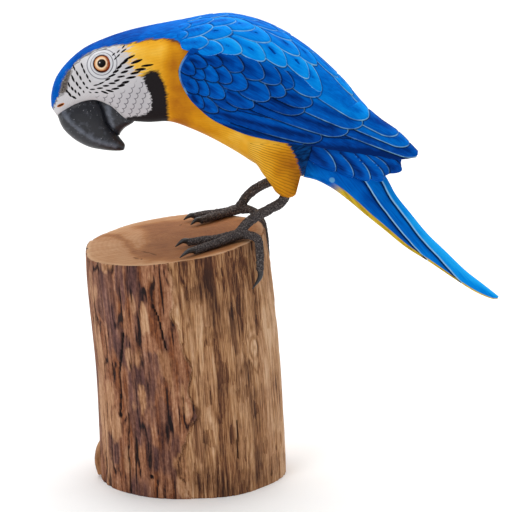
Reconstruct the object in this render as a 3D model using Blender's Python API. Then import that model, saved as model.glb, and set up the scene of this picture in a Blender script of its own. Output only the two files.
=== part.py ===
"""Wooden macaw, carved and painted, standing on a sawn log.

Every size is in millimetres until the meshes are made in metres. The log's flat
base is centred on the origin, the bird looks along -X and its left side is at -Y.
"""
import bmesh
import bpy
import numpy as np

MM = 0.001
GAP = 0.3                 # clearance between neighbouring pieces

# The bird stands a little behind the log's middle.
BIRD_Y = 12.0             # the bird's plane of symmetry
BODY_SIDES = 28           # corners of a body cross-section
BODY_SQUARE = 2.25        # 2 is an ellipse, higher is boxier

# Body cross-sections from the cere to the wing tips. Each lies in the plane of its
# top and bottom points: top x, z, bottom x, z, half width, feather cover on top.
BODY = [
    (-91.6, 251.0, -86.8, 243.4, 5.0, 0.0),
    (-91.4, 259.0, -82.4, 246.4, 10.0, 0.0),
    (-88.2, 269.4, -75.5, 250.8, 13.5, 0.0),
    (-80.8, 279.4, -68.5, 254.2, 17.5, 0.0),
    (-69.8, 288.7, -60.5, 254.8, 20.5, 0.0),
    (-56.0, 295.4, -51.0, 250.2, 22.0, 0.0),
    (-41.0, 300.6, -41.5, 241.8, 23.0, 0.0),
    (-26.0, 304.2, -28.0, 239.9, 24.0, 0.0),
    (-10.0, 307.3, -13.0, 240.3, 25.5, 0.0),
    (7.0, 310.8, 1.0, 235.6, 27.0, 1.6),
    (26.0, 312.6, 15.0, 229.0, 28.5, 2.8),
    (45.0, 308.6, 30.0, 220.4, 29.5, 3.0),
    (62.6, 300.6, 45.0, 210.8, 29.0, 3.0),
    (78.0, 290.4, 60.0, 204.8, 27.0, 3.0),
    (91.6, 278.4, 74.8, 203.0, 24.0, 3.0),
    (103.4, 266.4, 93.0, 205.0, 20.0, 2.5),
    (114.0, 253.4, 108.0, 208.0, 16.0, 2.0),
    (126.2, 242.0, 123.0, 209.0, 12.0, 1.5),
    (139.2, 232.4, 137.0, 210.5, 8.0, 1.0),
    (151.4, 219.4, 150.4, 213.8, 3.4, 0.5),
]
NECK_ROW = 6.4            # where the head ends and the neck begins
TRUNK_ROW = 8.0
VENT_ROW = 14.0           # the trunk's rear plane
TIP_ROW = 19.0

# Lower edge of the feathers over the back, from the neck to their rear point.
CAPE_EDGE = [
    (-20.0, 298.0), (-5.0, 296.5), (10.0, 293.5), (24.0, 291.5), (38.0, 288.5),
    (51.0, 284.5), (64.0, 279.5), (77.0, 272.5), (90.0, 262.5), (103.0, 251.5),
    (113.0, 246.5), (118.0, 250.0),
]
# Front and lower edge of a folded wing, from the shoulder to the tip.
WING_EDGE = [
    (0.0, 293.0), (-4.7, 286.0), (-6.7, 279.5), (-5.5, 272.0), (0.0, 261.0),
    (6.0, 254.0), (13.0, 247.4), (22.0, 242.2), (37.0, 236.3), (50.0, 233.5),
    (65.0, 230.5), (80.0, 228.5), (92.0, 225.2), (105.0, 222.3), (117.0, 219.0),
    (128.0, 215.8), (139.5, 214.4), (150.0, 215.4), (153.5, 217.6),
]
# Inner face of a wing, seen from above: x, distance from the plane of symmetry.
WING_INNER = [(-30.0, 16.0), (12.0, 18.0), (40.0, 19.0), (72.0, 18.0), (88.0, 14.0),
              (92.5, 0.15), (170.0, 0.15)]

# Rump, the block of feathers over the tail's root: columns as in BODY.
RUMP = [
    (87.0, 256.0, 77.5, 212.0, 20.5, 0.0),
    (97.0, 247.0, 90.0, 208.0, 18.8, 0.0),
    (107.0, 238.0, 102.0, 203.6, 17.2, 0.0),
    (116.0, 232.0, 113.0, 200.4, 15.6, 0.0),
    (127.0, 226.0, 124.5, 198.8, 13.0, 0.0),
    (136.0, 221.0, 134.5, 202.6, 9.0, 0.0),
    (142.0, 218.5, 141.2, 204.4, 5.0, 0.0),
]
RUMP_SQUARE = 3.2

# Tail cross-sections from the vent to the tip: top x, z, bottom x, z, half width.
TAIL = [
    (83.2, 239.5, 75.4, 203.4, 12.5),
    (106.0, 230.0, 84.4, 201.2, 13.5),
    (121.0, 214.0, 95.6, 195.2, 14.0),
    (130.5, 201.8, 105.8, 187.2, 13.5),
    (137.5, 189.2, 116.8, 177.6, 12.5),
    (147.0, 177.0, 129.2, 167.2, 11.2),
    (158.5, 162.8, 143.6, 155.0, 9.6),
    (171.0, 150.4, 159.5, 144.5, 8.0),
    (184.5, 137.1, 176.4, 132.6, 6.5),
    (196.0, 127.9, 190.5, 123.2, 5.0),
    (204.3, 121.2, 201.6, 117.9, 3.0),
    (207.3, 118.7, 206.4, 117.1, 1.0),
]
# Half of the tail's section: height from bottom to top, share of the half width.
TAIL_SECTION = [(0.0, 0.0), (0.0, 0.5), (0.04, 0.86), (0.14, 1.0), (0.34, 0.93),
                (0.56, 0.76), (0.75, 0.56), (0.9, 0.34), (1.0, 0.0)]

# Upper and lower beak: columns as in BODY, front point first.
BEAK_UPPER = [
    (-87.6, 246.4, -82.0, 250.4, 5.0, 0.0),
    (-87.0, 242.6, -77.0, 255.4, 8.0, 0.0),
    (-83.6, 234.9, -69.0, 259.4, 10.2, 0.0),
    (-76.4, 227.8, -61.5, 258.6, 10.9, 0.0),
    (-67.5, 222.9, -56.2, 250.8, 10.4, 0.0),
    (-58.8, 220.9, -55.0, 242.6, 9.2, 0.0),
    (-51.5, 220.0, -50.4, 234.6, 7.2, 0.0),
    (-46.8, 219.9, -46.2, 228.2, 4.6, 0.0),
    (-43.6, 220.6, -43.0, 224.3, 1.8, 0.0),
]
BEAK_LOWER = [
    (-58.2, 259.0, -44.5, 254.0, 9.0, 0.0),
    (-55.2, 251.0, -38.0, 246.0, 9.6, 0.0),
    (-54.0, 243.4, -36.2, 240.6, 9.0, 0.0),
    (-51.4, 238.6, -42.4, 236.0, 7.0, 0.0),
    (-48.9, 233.6, -45.6, 232.4, 3.6, 0.0),
    (-47.4, 230.9, -46.4, 230.5, 1.2, 0.0),
]
BEAK_SQUARE = 2.3

EYE_AT = (-56.6, 19.4, 283.0)         # x, distance from the plane of symmetry, z
EYE_FACES = (-0.12, 0.90, 0.41)
EYE_PROFILE = [(5.9, -1.6), (5.9, 0.1), (5.2, 0.6), (3.6, 1.05), (1.4, 1.3)]

# Thigh cross-sections, downwards: x, distance from symmetry, z, half length, half width.
THIGH = [
    (57.0, 15.0, 226.0, 13.6, 9.4),
    (57.6, 16.6, 219.0, 13.6, 10.4),
    (59.0, 18.6, 211.0, 12.2, 10.4),
    (61.8, 20.4, 203.5, 9.4, 9.2),
    (63.9, 21.8, 197.6, 7.5, 7.6),
    (64.8, 22.4, 193.9, 4.4, 4.6),
]

# Log: centreline x, z, half width along x, half width along y.
LOG = [
    (0.6, 0.0, 63.4, 61.4),
    (0.2, 14.0, 63.4, 61.4),
    (-0.6, 36.0, 63.0, 61.2),
    (-2.6, 77.0, 62.4, 61.0),
    (-5.4, 108.0, 62.0, 61.0),
    (-8.4, 140.0, 61.6, 60.8),
    (-10.6, 163.0, 60.2, 60.4),
]
LOG_SIDES = 40
LOG_WAVES = [(2, 0.6, 0.9), (3, 2.4, 0.8), (5, 0.9, 0.7), (8, 4.1, 0.5)]   # count, turn, depth
TOP_MIDDLE = (-9.9, 162.9)             # the sawn top's middle: x, z
TOP_RISE = 0.114                       # it climbs towards the tail side

LEG_RADIUS = 3.55
TOE_RADIUS = 2.9
CLAW_RADIUS = 2.1
# Routes of the left and right leg, and of each foot's outer, inner and rear toe.
LEGS = {
    "left": [(64.5, -11.0, 199.0), (61.0, -12.0, 191.0), (53.0, -15.5, 187.0),
             (45.5, -18.0, 183.4), (39.0, -20.5, 179.6), (34.8, -22.4, 175.4)],
    "right": [(64.5, 35.0, 199.0), (61.0, 36.5, 194.0), (52.0, 39.5, 190.8),
              (44.6, 41.4, 186.4), (38.4, 42.8, 181.0), (34.8, 43.2, 175.6)],
}
TOES = {
    "left": [
        [(33.2, -23.0, 172.0), (20.0, -33.0, 169.3), (11.0, -40.5, 168.2), (4.0, -46.0, 167.4)],
        [(33.2, -23.0, 172.0), (19.0, -23.6, 169.2), (8.0, -24.0, 167.9), (-0.5, -24.5, 167.0)],
        [(33.2, -23.0, 172.0), (40.0, -27.2, 172.4), (45.2, -31.0, 170.2), (46.4, -34.0, 161.0),
         (46.6, -34.6, 151.0)],
    ],
    "right": [
        [(33.4, 43.0, 171.6), (21.0, 42.4, 169.3), (10.0, 40.8, 168.1), (2.4, 39.4, 167.3)],
        [(33.4, 43.0, 171.6), (22.0, 37.0, 169.4), (13.0, 31.4, 168.5), (6.6, 27.6, 167.7)],
        [(33.4, 43.0, 171.6), (40.4, 37.6, 172.0), (45.4, 32.0, 169.8), (48.8, 28.4, 161.6),
         (50.4, 26.0, 149.6)],
    ],
}
CLAWS = {
    "left": [
        [(4.6, -45.5, 167.4), (0.0, -49.4, 167.8), (-5.4, -54.0, 164.8)],
        [(0.2, -24.5, 167.1), (-4.0, -25.6, 168.0), (-9.0, -27.2, 164.6)],
        [(46.6, -34.6, 151.8), (46.4, -35.4, 146.0), (41.6, -36.4, 138.6)],
    ],
    "right": [
        [(3.1, 39.5, 167.4), (-0.6, 38.8, 167.8), (-5.0, 37.8, 165.2)],
        [(7.2, 28.0, 167.8), (3.8, 25.8, 168.2), (0.0, 23.2, 165.6)],
        [(50.4, 26.0, 150.4), (51.6, 24.8, 144.0), (51.6, 23.8, 137.4)],
    ],
}

FINISH = {                # linear colour, roughness
    "painted_blue": ((0.010, 0.100, 0.480), 0.42),
    "painted_yellow": ((0.750, 0.340, 0.030), 0.45),
    "painted_white": ((0.740, 0.740, 0.720), 0.45),
    "painted_black": ((0.022, 0.022, 0.028), 0.38),
    "painted_amber": ((0.700, 0.300, 0.110), 0.30),
    "coated_wire": ((0.055, 0.052, 0.052), 0.85),
    "bare_wood": ((0.390, 0.210, 0.110), 0.80),
}


def remove_everything():
    for item in list(bpy.data.objects):
        bpy.data.objects.remove(item, do_unlink=True)


def finish_material(name):
    colour, roughness = FINISH[name]
    material = bpy.data.materials.new(name)
    material.use_nodes = True
    shader = material.node_tree.nodes["Principled BSDF"]
    shader.inputs["Base Color"].default_value = (*colour, 1.0)
    shader.inputs["Roughness"].default_value = roughness
    shader.inputs["Metallic"].default_value = 0.0
    return material


def read_rows(rows, places):
    """Rows of a table read at fractional places, on a Catmull-Rom curve through them."""
    table = np.array(rows, float)
    last = len(table) - 1
    places = np.clip(np.asarray(places, float), 0.0, last)
    index = np.minimum(places.astype(int), last - 1)
    f = (places - index)[:, None]
    a, b = table[np.maximum(index - 1, 0)], table[index]
    c, d = table[index + 1], table[np.minimum(index + 2, last)]
    cubic = -a + 3 * b - 3 * c + d
    return 0.5 * (2 * b + (c - a) * f + (2 * a - 5 * b + 4 * c - d) * f ** 2 + cubic * f ** 3)


def oval_rings(rows, square, sides=BODY_SIDES, top=0.0, side=0.0, low=0.0):
    """Boxy ovals standing on each row's top and bottom points.

    The top point moves out by `top`, the bottom by `low` and the half width by `side`.
    """
    turn = np.linspace(0.0, 2 * np.pi, sides, endpoint=False)
    up, out = np.cos(turn), np.sin(turn)
    up = np.sign(up) * np.abs(up) ** (2 / square)
    out = np.sign(out) * np.abs(out) ** (2 / square)
    high, bottom = rows[:, 0:2], rows[:, 2:4]
    along = (high - bottom) / np.linalg.norm(high - bottom, axis=1)[:, None]
    high = high + along * np.reshape(top, (-1, 1))
    bottom = bottom - along * low
    middle, reach = (high + bottom) / 2, (high - bottom) / 2
    half = rows[:, 4] + side
    rings = np.empty((len(rows), sides, 3))
    rings[:, :, 0] = middle[:, 0:1] + reach[:, 0:1] * up
    rings[:, :, 2] = middle[:, 1:2] + reach[:, 1:2] * up
    rings[:, :, 1] = BIRD_Y + half[:, None] * out
    return rings


def mesh_object(name, points, faces, material):
    mesh = bpy.data.meshes.new(name)
    mesh.from_pydata([tuple(point) for point in np.asarray(points) * MM], [], faces)
    shape = bmesh.new()
    shape.from_mesh(mesh)
    bmesh.ops.recalc_face_normals(shape, faces=shape.faces)
    shape.to_mesh(mesh)
    shape.free()
    item = bpy.data.objects.new(name, mesh)
    bpy.context.scene.collection.objects.link(item)
    if material:
        mesh.materials.append(material)
    return item


def loft(name, rings, material=None):
    """A closed solid through cross-sections that share their number of corners."""
    rings = np.asarray(rings, float)
    count, sides = rings.shape[0], rings.shape[1]
    faces = [list(range(sides)), list(range((count - 1) * sides, count * sides))]
    for i in range(count - 1):
        for j in range(sides):
            k = (j + 1) % sides
            faces.append([i * sides + j, i * sides + k, (i + 1) * sides + k, (i + 1) * sides + j])
    return mesh_object(name, rings.reshape(-1, 3), faces, material)


def upright_prism(name, outline, near, far):
    """A prism with an outline in x and z, from y = near to y = far."""
    rings = [[(x, y, z) for x, z in outline] for y in (near, far)]
    return loft(name, rings)


def flat_prism(name, outline, low, high):
    """A prism with an outline in x and y, from z = low to z = high."""
    rings = [[(x, y, z) for x, y in outline] for z in (low, high)]
    return loft(name, rings)


def tube(name, route, radii, sides, material=None, steps=3):
    """A round bar along a smooth route, its ends rounded over."""
    places = np.linspace(0, len(route) - 1, (len(route) - 1) * steps + 1)
    rows = read_rows([(*point, radius) for point, radius in zip(route, radii)], places)
    path, radius = rows[:, :3], rows[:, 3]
    ahead = np.gradient(path, axis=0)
    ahead /= np.linalg.norm(ahead, axis=1)[:, None]
    for end, inner in ((0, 1), (-1, -2)):
        tip = path[end] + ahead[end] * radius[end] * (0.35 if end else -0.35)
        shrunk = radius[end] * 0.7
        spot = 0 if end == 0 else len(path)
        path = np.insert(path, spot, tip, axis=0)
        radius = np.insert(radius, spot, shrunk)
        ahead = np.insert(ahead, spot, ahead[end], axis=0)
    right = np.cross(ahead, (0.0, 1.0, 0.0))
    right /= np.linalg.norm(right, axis=1)[:, None]
    over = np.cross(right, ahead)
    turn = np.linspace(0.0, 2 * np.pi, sides, endpoint=False)
    circle = (right[:, None] * np.cos(turn)[None, :, None]
              + over[:, None] * np.sin(turn)[None, :, None])
    return loft(name, path[:, None] + circle * radius[:, None, None], material)


def combine(item, cutter, operation):
    """Applies an exact Boolean and removes the second object."""
    change = item.modifiers.new(operation.lower(), "BOOLEAN")
    change.operation = operation
    change.object = cutter
    bpy.context.view_layer.update()
    result = bpy.data.meshes.new_from_object(item.evaluated_get(bpy.context.evaluated_depsgraph_get()))
    item.modifiers.remove(change)
    item.data = result
    bpy.data.objects.remove(cutter, do_unlink=True)


def shade(item, angle=35.0):
    item.data.shade_smooth()
    item.data.set_sharp_from_angle(angle=np.radians(angle))


def offset_outline(outline, amount):
    """A closed outline moved outwards by an even distance."""
    here = np.array(outline, float)
    before, after = np.roll(here, 1, axis=0), np.roll(here, -1, axis=0)
    area = np.sum(here[:, 0] * after[:, 1] - after[:, 0] * here[:, 1])
    turn = 1.0 if area > 0 else -1.0
    normals = []
    for start, end in ((before, here), (here, after)):
        edge = (end - start) / np.linalg.norm(end - start, axis=1)[:, None]
        normals.append(turn * np.stack([edge[:, 1], -edge[:, 0]], axis=1))
    bisector = normals[0] + normals[1]
    bisector /= np.linalg.norm(bisector, axis=1)[:, None]
    stretch = 1.0 / np.maximum(np.sum(bisector * normals[0], axis=1), 0.5)
    return here + bisector * (amount * stretch)[:, None]


def smooth_edge(points, steps=3):
    return read_rows(points, np.linspace(0, len(points) - 1, (len(points) - 1) * steps + 1))


def set_back(rings, rows, first=0.0, last=0.0):
    """Moves the end sections along their own normals, into the piece when positive."""
    for index, amount in ((0, first), (-1, -last)):
        high, low = rows[index, 0:2], rows[index, 2:4]
        along = (high - low) / np.linalg.norm(high - low)
        rings[index, :, 0] += along[1] * amount
        rings[index, :, 2] -= along[0] * amount
    return rings


def body_piece(name, start, end, count, material=None, cover=0.0, lift=0.0, grow=0.0):
    """A length of the body; `cover` lowers its top and `lift` widens its sides per cover."""
    rows = read_rows(BODY, np.linspace(start, end, count))
    rings = oval_rings(rows, BODY_SQUARE, top=grow - cover * rows[:, 5], low=grow,
                       side=grow + lift * rows[:, 5])
    back = GAP / 2 - grow
    return loft(name, set_back(rings, rows, back, back), material)


def cape_cutter(grow=0.0):
    """Everything above the cape's lower edge."""
    outline = [tuple(point) for point in smooth_edge(CAPE_EDGE)]
    outline += [(150.0, 300.0), (90.0, 360.0), (-60.0, 360.0)]
    return upright_prism("cape_cutter", offset_outline(outline, grow), -60.0, 90.0)


def wing_cutter(side, grow=0.0):
    """The block a folded wing is carved from: its side outline and its inner face."""
    cape = [(x, z - GAP) for x, z in smooth_edge(CAPE_EDGE) if x > 8.0]
    outline = [tuple(point) for point in smooth_edge(WING_EDGE)]
    outline += [(162.0, 232.0), (130.0, 262.0)] + cape[::-1]
    block = upright_prism("wing_cutter", offset_outline(outline, grow), -60.0, 90.0)
    plan = [(x, BIRD_Y + side * (away - grow)) for x, away in WING_INNER]
    plan += [(170.0, BIRD_Y + side * 60.0), (-30.0, BIRD_Y + side * 60.0)]
    combine(block, flat_prism("wing_plan", plan, 190.0, 330.0), "INTERSECT")
    return block


def beak_piece(name, table, material=None, grow=0.0):
    count = 3 * (len(table) - 1) // 2 + 1
    rows = read_rows(table, np.linspace(0, len(table) - 1, count))
    rings = oval_rings(rows, BEAK_SQUARE, 18, top=grow, low=grow, side=grow)
    return loft(name, rings, material)


def rump_piece(name, material=None, grow=0.0):
    rows = read_rows(RUMP, np.linspace(0, len(RUMP) - 1, 10))
    rings = oval_rings(rows, RUMP_SQUARE, 22, top=grow, low=grow, side=grow)
    return loft(name, set_back(rings, rows, GAP - grow, -grow), material)


def tail_rings(rows):
    """Roof-shaped sections: a nearly flat underside and sides that lean to a ridge."""
    left = [(height, -share) for height, share in TAIL_SECTION]
    right = [(height, share) for height, share in TAIL_SECTION[1:-1]]
    section = np.array(left + right[::-1])
    height, share = section[:, 0], section[:, 1]
    high, low = rows[:, None, 0:2], rows[:, None, 2:4]
    spots = low + (high - low) * height[None, :, None]
    out = BIRD_Y + rows[:, 4:5] * share
    return np.stack([spots[:, :, 0], out, spots[:, :, 1]], axis=2)


def eye_piece(name, side, material=None, grow=0.0):
    """A shallow dome turned about the direction that the eye faces."""
    x, away, z = EYE_AT
    centre = np.array([x, BIRD_Y + side * away, z])
    ahead = np.array([EYE_FACES[0], side * EYE_FACES[1], EYE_FACES[2]])
    ahead /= np.linalg.norm(ahead)
    right = np.cross(ahead, (0.0, 0.0, 1.0))
    right /= np.linalg.norm(right)
    over = np.cross(right, ahead)
    turn = np.linspace(0.0, 2 * np.pi, 18, endpoint=False)
    circle = right * np.cos(turn)[:, None] + over * np.sin(turn)[:, None]
    rings = []
    for index, (radius, height) in enumerate(EYE_PROFILE):
        depth = height - grow if index == 0 else height + grow
        rings.append(centre + ahead * depth + circle * (radius + grow))
    return loft(name, rings, material)


def thigh_piece(name, side, material=None, grow=0.0):
    rows = read_rows(THIGH, np.linspace(0, len(THIGH) - 1, 8))
    turn = np.linspace(0.0, 2 * np.pi, 18, endpoint=False)
    rings = np.empty((len(rows), 18, 3))
    rings[:, :, 0] = rows[:, 0:1] + (rows[:, 3:4] + grow) * np.cos(turn)
    rings[:, :, 1] = BIRD_Y + side * rows[:, 1:2] + (rows[:, 4:5] + grow) * np.sin(turn)
    rings[:, :, 2] = rows[:, 2:3]
    rings[0, :, 2] += grow
    rings[-1, :, 2] -= grow
    return loft(name, rings, material)


def leg_piece(name, which, material=None, grow=0.0):
    route = LEGS[which]
    return tube(name, route, [LEG_RADIUS + grow] * len(route), 10, material, steps=2)


def foot_piece(name, which, material=None, grow=0.0):
    """Three toes and the ankle that they spread from."""
    ankle = np.array(TOES[which][0][0])
    rise = (np.array(LEGS[which][-1]) - ankle) * 0.6
    hub = [ankle + rise * share for share in (-0.3, 0.4, 1.0)]
    foot = tube(name, hub, [4.4 + grow, 4.3 + grow, 4.0 + grow], 10, material, steps=1)
    for route in TOES[which]:
        radii = [3.6 + grow] + [TOE_RADIUS + grow] * (len(route) - 2) + [TOE_RADIUS - 0.3 + grow]
        combine(foot, tube("toe", route, radii, 8, steps=2), "UNION")
    return foot


def log_piece(name, material=None, grow=0.0):
    """A slightly uneven round log with a level base and a slanting sawn top."""
    rows = read_rows(LOG, np.linspace(0, len(LOG) - 1, 8))
    turn = np.linspace(0.0, 2 * np.pi, LOG_SIDES, endpoint=False)
    wave = sum(depth * np.sin(count * turn + phase) for count, phase, depth in LOG_WAVES)
    rings = np.empty((len(rows), LOG_SIDES, 3))
    rings[:, :, 0] = rows[:, 0:1] + (rows[:, 2:3] + wave + grow) * np.cos(turn)
    rings[:, :, 1] = (rows[:, 3:4] + wave + grow) * np.sin(turn)
    rings[:, :, 2] = rows[:, 1:2]
    rings[-1, :, 2] = TOP_MIDDLE[1] + TOP_RISE * (rings[-1, :, 0] - TOP_MIDDLE[0]) + grow
    return loft(name, rings, material)


def build_body(paint):
    """Head, neck and trunk, with pockets for the eyes and thighs."""
    head = body_piece("head", 0.0, NECK_ROW, 13, paint["painted_white"])
    neck = body_piece("neck", NECK_ROW, TRUNK_ROW, 5, paint["painted_yellow"])
    trunk = body_piece("trunk", TRUNK_ROW, VENT_ROW, 11, paint["painted_yellow"], cover=1.0)
    combine(trunk, cape_cutter(GAP), "DIFFERENCE")
    for side, which in ((-1, "left"), (1, "right")):
        combine(trunk, wing_cutter(side, GAP), "DIFFERENCE")
        combine(trunk, thigh_piece("pocket", side, grow=GAP), "DIFFERENCE")
        combine(head, eye_piece("socket", side, grow=GAP), "DIFFERENCE")
        eye_piece(f"eye_{which}", side, paint["painted_amber"])
        thigh = thigh_piece(f"thigh_{which}", side, paint["painted_yellow"])
        combine(thigh, leg_piece("leg_hole", which, grow=GAP), "DIFFERENCE")


def build_feathers(paint):
    """The cape over the back, the folded wings, the rump and the tail."""
    blue = paint["painted_blue"]
    cape = body_piece("back", TRUNK_ROW, TIP_ROW, 17, blue, lift=1.0)
    combine(cape, cape_cutter(), "INTERSECT")
    rump = rump_piece("rump", blue)
    for side, which in ((-1, "left"), (1, "right")):
        wing = body_piece(f"wing_{which}", TRUNK_ROW - 1.0, TIP_ROW, 18, blue, cover=0.3, lift=0.65)
        combine(wing, wing_cutter(side), "INTERSECT")
        combine(rump, wing_cutter(side, GAP), "DIFFERENCE")
    rows = read_rows(TAIL, np.linspace(0, len(TAIL) - 1, 15))
    tail = loft("tail", set_back(tail_rings(rows), rows, GAP, 0.0), blue)
    combine(tail, rump_piece("rump_cutter", grow=GAP), "DIFFERENCE")


def build_beak(paint):
    upper = beak_piece("beak_upper", BEAK_UPPER, paint["painted_black"])
    lower = beak_piece("beak_lower", BEAK_LOWER, paint["painted_black"])
    combine(lower, beak_piece("upper_cutter", BEAK_UPPER, grow=GAP), "DIFFERENCE")
    for piece in (upper, lower):
        combine(piece, body_piece("head_cutter", 0.0, NECK_ROW, 13, grow=GAP), "DIFFERENCE")
    combine(lower, body_piece("neck_cutter", NECK_ROW, TRUNK_ROW, 5, grow=GAP), "DIFFERENCE")


def build_legs(paint):
    """Wire legs, feet and claws, fitted to the log's top and rear edge."""
    wire = paint["coated_wire"]
    for which in ("left", "right"):
        foot = foot_piece(f"foot_{which}", which, wire)
        combine(foot, log_piece("log_cutter", grow=GAP), "DIFFERENCE")
        leg = leg_piece(f"leg_{which}", which, wire)
        combine(leg, foot_piece("foot_cutter", which, grow=GAP), "DIFFERENCE")
        for number, route in enumerate(CLAWS[which], 1):
            claw = tube(f"claw_{which}_{number}", route, [CLAW_RADIUS, 1.6, 0.5], 8,
                        paint["painted_black"], steps=2)
            combine(claw, foot_piece("foot_cutter", which, grow=GAP), "DIFFERENCE")
            combine(claw, log_piece("log_cutter", grow=GAP), "DIFFERENCE")


def main():
    remove_everything()
    paint = {name: finish_material(name) for name in FINISH}
    log_piece("log", paint["bare_wood"])
    build_body(paint)
    build_feathers(paint)
    build_beak(paint)
    build_legs(paint)
    for item in bpy.data.objects:
        shade(item)


main()
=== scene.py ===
"""Looks of a wooden macaw, carved and painted blue and yellow, on a sawn log.

Sizes are in millimetres until a mesh is made in metres. The log's base is centred on
the origin, the bird looks along -X and its left side is at -Y.
"""
import bpy
import numpy as np
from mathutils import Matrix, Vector


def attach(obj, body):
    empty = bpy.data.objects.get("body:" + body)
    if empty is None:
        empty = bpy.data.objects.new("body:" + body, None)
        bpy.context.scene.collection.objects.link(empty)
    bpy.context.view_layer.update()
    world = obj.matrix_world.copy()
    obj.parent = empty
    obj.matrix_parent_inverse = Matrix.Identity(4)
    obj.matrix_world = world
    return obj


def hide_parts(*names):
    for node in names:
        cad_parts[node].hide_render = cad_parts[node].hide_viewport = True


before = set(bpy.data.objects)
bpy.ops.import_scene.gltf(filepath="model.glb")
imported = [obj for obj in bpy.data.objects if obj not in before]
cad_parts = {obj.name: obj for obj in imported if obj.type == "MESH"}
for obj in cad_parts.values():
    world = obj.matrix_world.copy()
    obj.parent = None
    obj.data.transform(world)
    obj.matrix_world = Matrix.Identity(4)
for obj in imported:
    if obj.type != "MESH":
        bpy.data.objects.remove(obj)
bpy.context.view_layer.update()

MM = 0.001
FAR = 9.0                 # a distance that no painted line reaches

# ---------------------------------------------------------------- shapes of the solids

BIRD_Y = 12.0             # the bird's plane of symmetry
BODY_SQUARE = 2.25        # 2 is an ellipse, higher is boxier
# Body cross-sections from the cere to the wing tips: top x, z, bottom x, z, half
# width, feather cover on top.
BODY = [
    (-91.6, 251, -86.8, 243.4, 5, 0),
    (-91.4, 259, -82.4, 246.4, 10, 0),
    (-88.2, 269.4, -75.5, 250.8, 13.5, 0),
    (-80.8, 279.4, -68.5, 254.2, 17.5, 0),
    (-69.8, 288.7, -60.5, 254.8, 20.5, 0),
    (-56, 295.4, -51, 250.2, 22, 0),
    (-41, 300.6, -41.5, 241.8, 23, 0),
    (-26, 304.2, -28, 239.9, 24, 0),
    (-10, 307.3, -13, 240.3, 25.5, 0),
    (7, 310.8, 1, 235.6, 27, 1.6),
    (26, 312.6, 15, 229, 28.5, 2.8),
    (45, 308.6, 30, 220.4, 29.5, 3),
    (62.6, 300.6, 45, 210.8, 29, 3),
    (78, 290.4, 60, 204.8, 27, 3),
    (91.6, 278.4, 74.8, 203, 24, 3),
    (103.4, 266.4, 93, 205, 20, 2.5),
    (114, 253.4, 108, 208, 16, 2),
    (126.2, 242, 123, 209, 12, 1.5),
    (139.2, 232.4, 137, 210.5, 8, 1),
    (151.4, 219.4, 150.4, 213.8, 3.4, 0.5),
]
HEAD_ROW, TRUNK_ROW, VENT_ROW, TIP_ROW = 6.4, 8.0, 14.0, 19.0
# Lower edge of the feathers over the back, seen from the side: x, z.
CAPE_EDGE = [
    (-20, 298), (-5, 296.5), (10, 293.5), (24, 291.5), (38, 288.5),
    (51, 284.5), (64, 279.5), (77, 272.5), (90, 262.5), (103, 251.5),
    (113, 246.5), (118, 250),
]
CAPE_TOP = 312.4
# Front and lower edge of a folded wing, from the shoulder to the tip: x, z.
WING_EDGE = [
    (0, 293), (-4.7, 286), (-6.7, 279.5), (-5.5, 272), (0, 261),
    (6, 254), (13, 247.4), (22, 242.2), (37, 236.3), (50, 233.5),
    (65, 230.5), (80, 228.5), (92, 225.2), (105, 222.3), (117, 219),
    (128, 215.8), (139.5, 214.4), (150, 215.4), (153.5, 217.6),
]
# Inner face of a wing, seen from above: x, distance from the plane of symmetry.
WING_INNER = [(-30, 16), (12, 18), (40, 19), (72, 18), (88, 14),
              (92.5, 0.2), (170, 0.2)]
WING_LIFT, CAPE_LIFT = 0.65, 1.0       # how far each stands out per unit of cover
RUMP_SQUARE = 3.2
RUMP = [
    (87, 256, 77.5, 212, 20.5), (97, 247, 90, 208, 18.8),
    (107, 238, 102, 203.6, 17.2), (116, 232, 113, 200.4, 15.6),
    (127, 226, 124.5, 198.8, 13), (136, 221, 134.5, 202.6, 9),
    (142, 218.5, 141.2, 204.4, 5),
]
# Tail sections: ridge x, z, underside x, z, half width.
TAIL = [
    (83.2, 239.5, 75.4, 203.4, 12.5), (106, 230, 84.4, 201.2, 13.5),
    (121, 214, 95.6, 195.2, 14), (130.5, 201.8, 105.8, 187.2, 13.5),
    (137.5, 189.2, 116.8, 177.6, 12.5), (147, 177, 129.2, 167.2, 11.2),
    (158.5, 162.8, 143.6, 155, 9.6), (171, 150.4, 159.5, 144.5, 8),
    (184.5, 137.1, 176.4, 132.6, 6.5), (196, 127.9, 190.5, 123.2, 5),
    (204.3, 121.2, 201.6, 117.9, 3), (207.3, 118.7, 206.4, 117.1, 1),
]
# Half of a tail section: share of the height, share of the half width.
TAIL_SECTION = [(0, 0), (0, 0.5), (0.04, 0.86), (0.14, 1), (0.34, 0.93),
                (0.56, 0.76), (0.75, 0.56), (0.9, 0.34), (1, 0)]
BEAK_SQUARE = 2.3
BEAK_UPPER = [
    (-87.6, 246.4, -82, 250.4, 5), (-87, 242.6, -77, 255.4, 8),
    (-83.6, 234.9, -69, 259.4, 10.2), (-76.4, 227.8, -61.5, 258.6, 10.9),
    (-67.5, 222.9, -56.2, 250.8, 10.4), (-58.8, 220.9, -55, 242.6, 9.2),
    (-51.5, 220, -50.4, 234.6, 7.2), (-46.8, 219.9, -46.2, 228.2, 4.6),
    (-44.2, 220.3, -43.6, 224.9, 2.7), (-43.3, 221.3, -43, 223.4, 0.9),
]
BEAK_LOWER = [
    (-63.2, 259, -44.5, 254, 9.8), (-60.2, 251, -38, 246, 10.2),
    (-58, 243.4, -36.2, 240.6, 9.6), (-55.4, 238.6, -42.4, 236, 7.4),
    (-51.9, 233.6, -45.6, 232.4, 3.8), (-48.4, 230.9, -46.4, 230.5, 1.2),
]
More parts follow.
